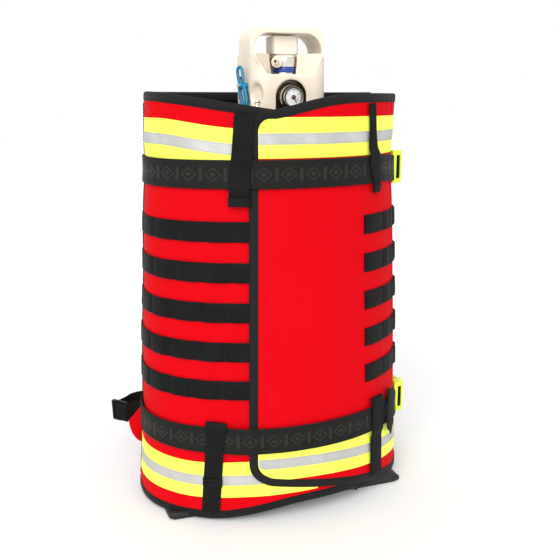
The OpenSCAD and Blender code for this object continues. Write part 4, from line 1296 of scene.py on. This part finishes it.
def knob_marks():
    low, high = (corner_ / MM for corner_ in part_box("flow_knob"))
    verts, faces = [], []
    for dx in range(-9, 10, 3):
        middle = Vector(((low.x + high.x) / 2 + dx, low.y - 0.1, (low.z + high.z) / 2 + 1.5))
        half = Vector((0.7, 0.5, 4.0 - 0.8 * abs(dx) / 3))
        faces += [tuple(len(verts) + k for k in face) for face in BLOCK_FACES]
        verts += [middle + half * Vector(ends) for ends in itertools.product((-1, 1), repeat=3)]
    # The marks share the knob's lighter ivory copy, painted light.
    marks = build("knob_marks", verts, faces, [], LIT_IVORY_COPY, [], "knob")
    bevel = marks.modifiers.new("bevel", "BEVEL")
    bevel.width, bevel.segments = 0.4 * MM, 2


knob_marks()

# ---- Gauge: a dark hood behind it as painted shade, a hub on the needle, and the dial's scale ----

gauge_low, gauge_high = (corner_ / MM for corner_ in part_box("gauge_case"))
gauge_x, gauge_z = (gauge_low.x + gauge_high.x) / 2, (gauge_low.z + gauge_high.z) / 2
face_y = gauge_low.y + 3.5
SHADE_HOOD = [(3, -3), (12, -3), (21, -1), (24.5, 3), (24.5, 5.5), (23.2, 5.5), (21, 1.5), (12, 0), (3, 0)]
HUB_PROFILE = [(0.02, 0), (3.1, 0), (3.1, 1.0), (2.3, 1.5), (0.02, 1.6)]
FORWARD = (X, Z, -Y)
# The hood is a dark sheet that stands in for the shade behind the gauge.
turned("gauge_shade_hood", SHADE_HOOD, Vector((gauge_x, gauge_high.y + 0.5, gauge_z)), FORWARD, SHADED_CHROME, "cylinder")
turned("gauge_hub", HUB_PROFILE, Vector((gauge_x, face_y - 1.35, gauge_z)), FORWARD, HUB, "needle", 40)
SCALE_START, SCALE_SWEEP, SCALE_R = 210, 240, 10.0


def polar(r, t, aside_by=0.0):
    """A place on the dial: a radius, an angle and a distance to one side."""
    return r * math.cos(t) - aside_by * math.sin(t), r * math.sin(t) + aside_by * math.cos(t)


def dial_scale():
    verts, faces = [], []

    def plate(points):
        first, n = len(verts), len(points)
        for rise in (0.0, 0.12):
            verts.extend(Vector((gauge_x + x, face_y - 0.02 - rise, gauge_z + z)) for x, z in points)
        faces.append(tuple(range(first, first + n)))
        faces.append(tuple(range(first + n, first + 2 * n)))
        for k in range(n):
            m = (k + 1) % n
            faces.append((first + k, first + m, first + n + m, first + n + k))
    for k in range(25):
        t = math.radians(SCALE_START - SCALE_SWEEP * k / 24)
        inner, w = (7.9, 0.30) if k % 6 == 0 else (8.9, 0.15)
        outer = SCALE_R - 0.1
        plate([polar(r, t, across) for r, across in ((inner, w), (outer, w), (outer, -w), (inner, -w))])
    arc = [math.radians(SCALE_START - SCALE_SWEEP * k / 60) for k in range(61)]
    plate([polar(SCALE_R, t) for t in arc] + [polar(SCALE_R + 0.3, t) for t in reversed(arc)])
    build("dial_scale", verts, faces, [], INK, [], "cylinder", sharp=30)


def dial_number(k, number):
    x0, z0 = polar(6.2, math.radians(SCALE_START - 60 * k))
    curve = bpy.data.curves.new("number", "FONT")
    curve.body, curve.size, curve.extrude = number, 0.0022, 0.00005
    curve.align_x = curve.align_y = "CENTER"
    mesh = applied(curve, [])
    for v in mesh.vertices:
        x, y, z = v.co
        v.co = Vector(((gauge_x + x0) * MM + x, (face_y - 0.08) * MM - z, (gauge_z + z0) * MM + y))
    finish_mesh("dial_number_" + number, mesh, INK, "cylinder", [], False)


dial_scale()
for k, number in enumerate(("0", "50", "100", "150", "200")):
    dial_number(k, number)

# ---- Bed strap: two rubber loops and a dark navy strip behind them as painted shade ----

HUB_H = 11
STRAP_HUB = Vector((AXIS_X - GUARD_W / 2 - 0.4, AXIS_Y - 20, 552))
TURN_C, TURN_S = math.cos(math.radians(22)), math.sin(math.radians(22))


def on_strap(p, q, out=0.0):
    """A point of the turned strap: p backwards along it, q up and out away from the guard."""
    return STRAP_HUB + Vector((-HUB_H / 2 - 1 - p * TURN_S - out * TURN_C, p * TURN_C - out * TURN_S, q))


def loop_path(p0, q0, w, h, tilt):
    c, s = math.cos(math.radians(tilt)), math.sin(math.radians(tilt))
    path = []
    for t in turn(48):
        p, q = signed_power(math.cos(t), 0.9) * w / 2, signed_power(math.sin(t), 0.75) * h / 2
        path.append(on_strap(p0 + c * p - s * q, q0 + s * p + c * q, 0.35 * math.sin(2 * t)))
    return path


round_bar("bed_strap_upper", loop_path(4, 12, 10.2, 22, -12), 2.1, TURQUOISE, ["bed_strap"], "bed_strap",
          sides=12, closed=True, squash=0.9)
round_bar("bed_strap_lower", loop_path(-2, -14, 10.6, 27, -16), 3.1, TURQUOISE, [], "bed_strap",
          sides=12, closed=True, squash=0.78)
COLLAR = [(3.0, 0.2), (3.6, 0.6), (3.7, 1.4), (3.7, HUB_H - 1.4),
          (3.5, HUB_H - 0.5), (3.0, HUB_H), (2.15, HUB_H), (2.15, 0.2)]
turned("bed_strap_collar", COLLAR, STRAP_HUB, (Y, Z, -X), TURQUOISE, "bed_strap", 40)
# A dark navy strip behind the loops stands in for the shade between them and the guard.
shade_strip = [on_strap(p, q, -1.9) for p, q in ((5, 11), (2, 5), (-2, -1), (-5.5, -7), (-7.5, -14), (-8.5, -21))]
shade_strip_across = Vector((-TURN_S, TURN_C, 0.1)).normalized()
ribbon("bed_strap_shade_strip", shade_strip, shade_strip_across, 6, 1.0, NAVY_SHADE, [], "bed_strap")

# ---- Thread ----

COLOURS = {"black": THREAD, "yellow": YELLOW_THREAD, "silver": SILVER_THREAD, "red": RED_THREAD}
for (colour, body), (verts, faces) in threads.items():
    build("thread_%s_%s" % (colour, body), verts, faces, [], COLOURS[colour], [], body, sharp=120)

# ---- Floor and light ----

FLOOR_HALF = 9
floor_corners = [(x * FLOOR_HALF, y * FLOOR_HALF, 0) for x, y in ((-1, -1), (1, -1), (1, 1), (-1, 1))]
floor_mesh = bpy.data.meshes.new("floor")
floor_mesh.from_pydata(floor_corners, [], [(0, 1, 2, 3)])
paint = Surface("floor_paint", Roughness=0.9, Specular_IOR_Level=0.1)
paint.set(Base_Color=paint.mix(paint.noise(3, 2), (0.83, 0.83, 0.83), (0.81, 0.81, 0.81)))
floor_mesh.materials.append(paint.material)
floor = linked("floor", floor_mesh)

world = bpy.data.worlds.new("studio")
bpy.context.scene.world = world
world.use_nodes = True
background = world.node_tree.nodes["Background"].inputs
background["Color"].default_value = (1, 1, 1, 1)
background["Strength"].default_value = 1.0

sun = bpy.data.lights.new("sun", "SUN")
sun.energy, sun.angle = 2.3, math.radians(55)
aim(linked("sun", sun), (0.42, 0.80, -0.55))
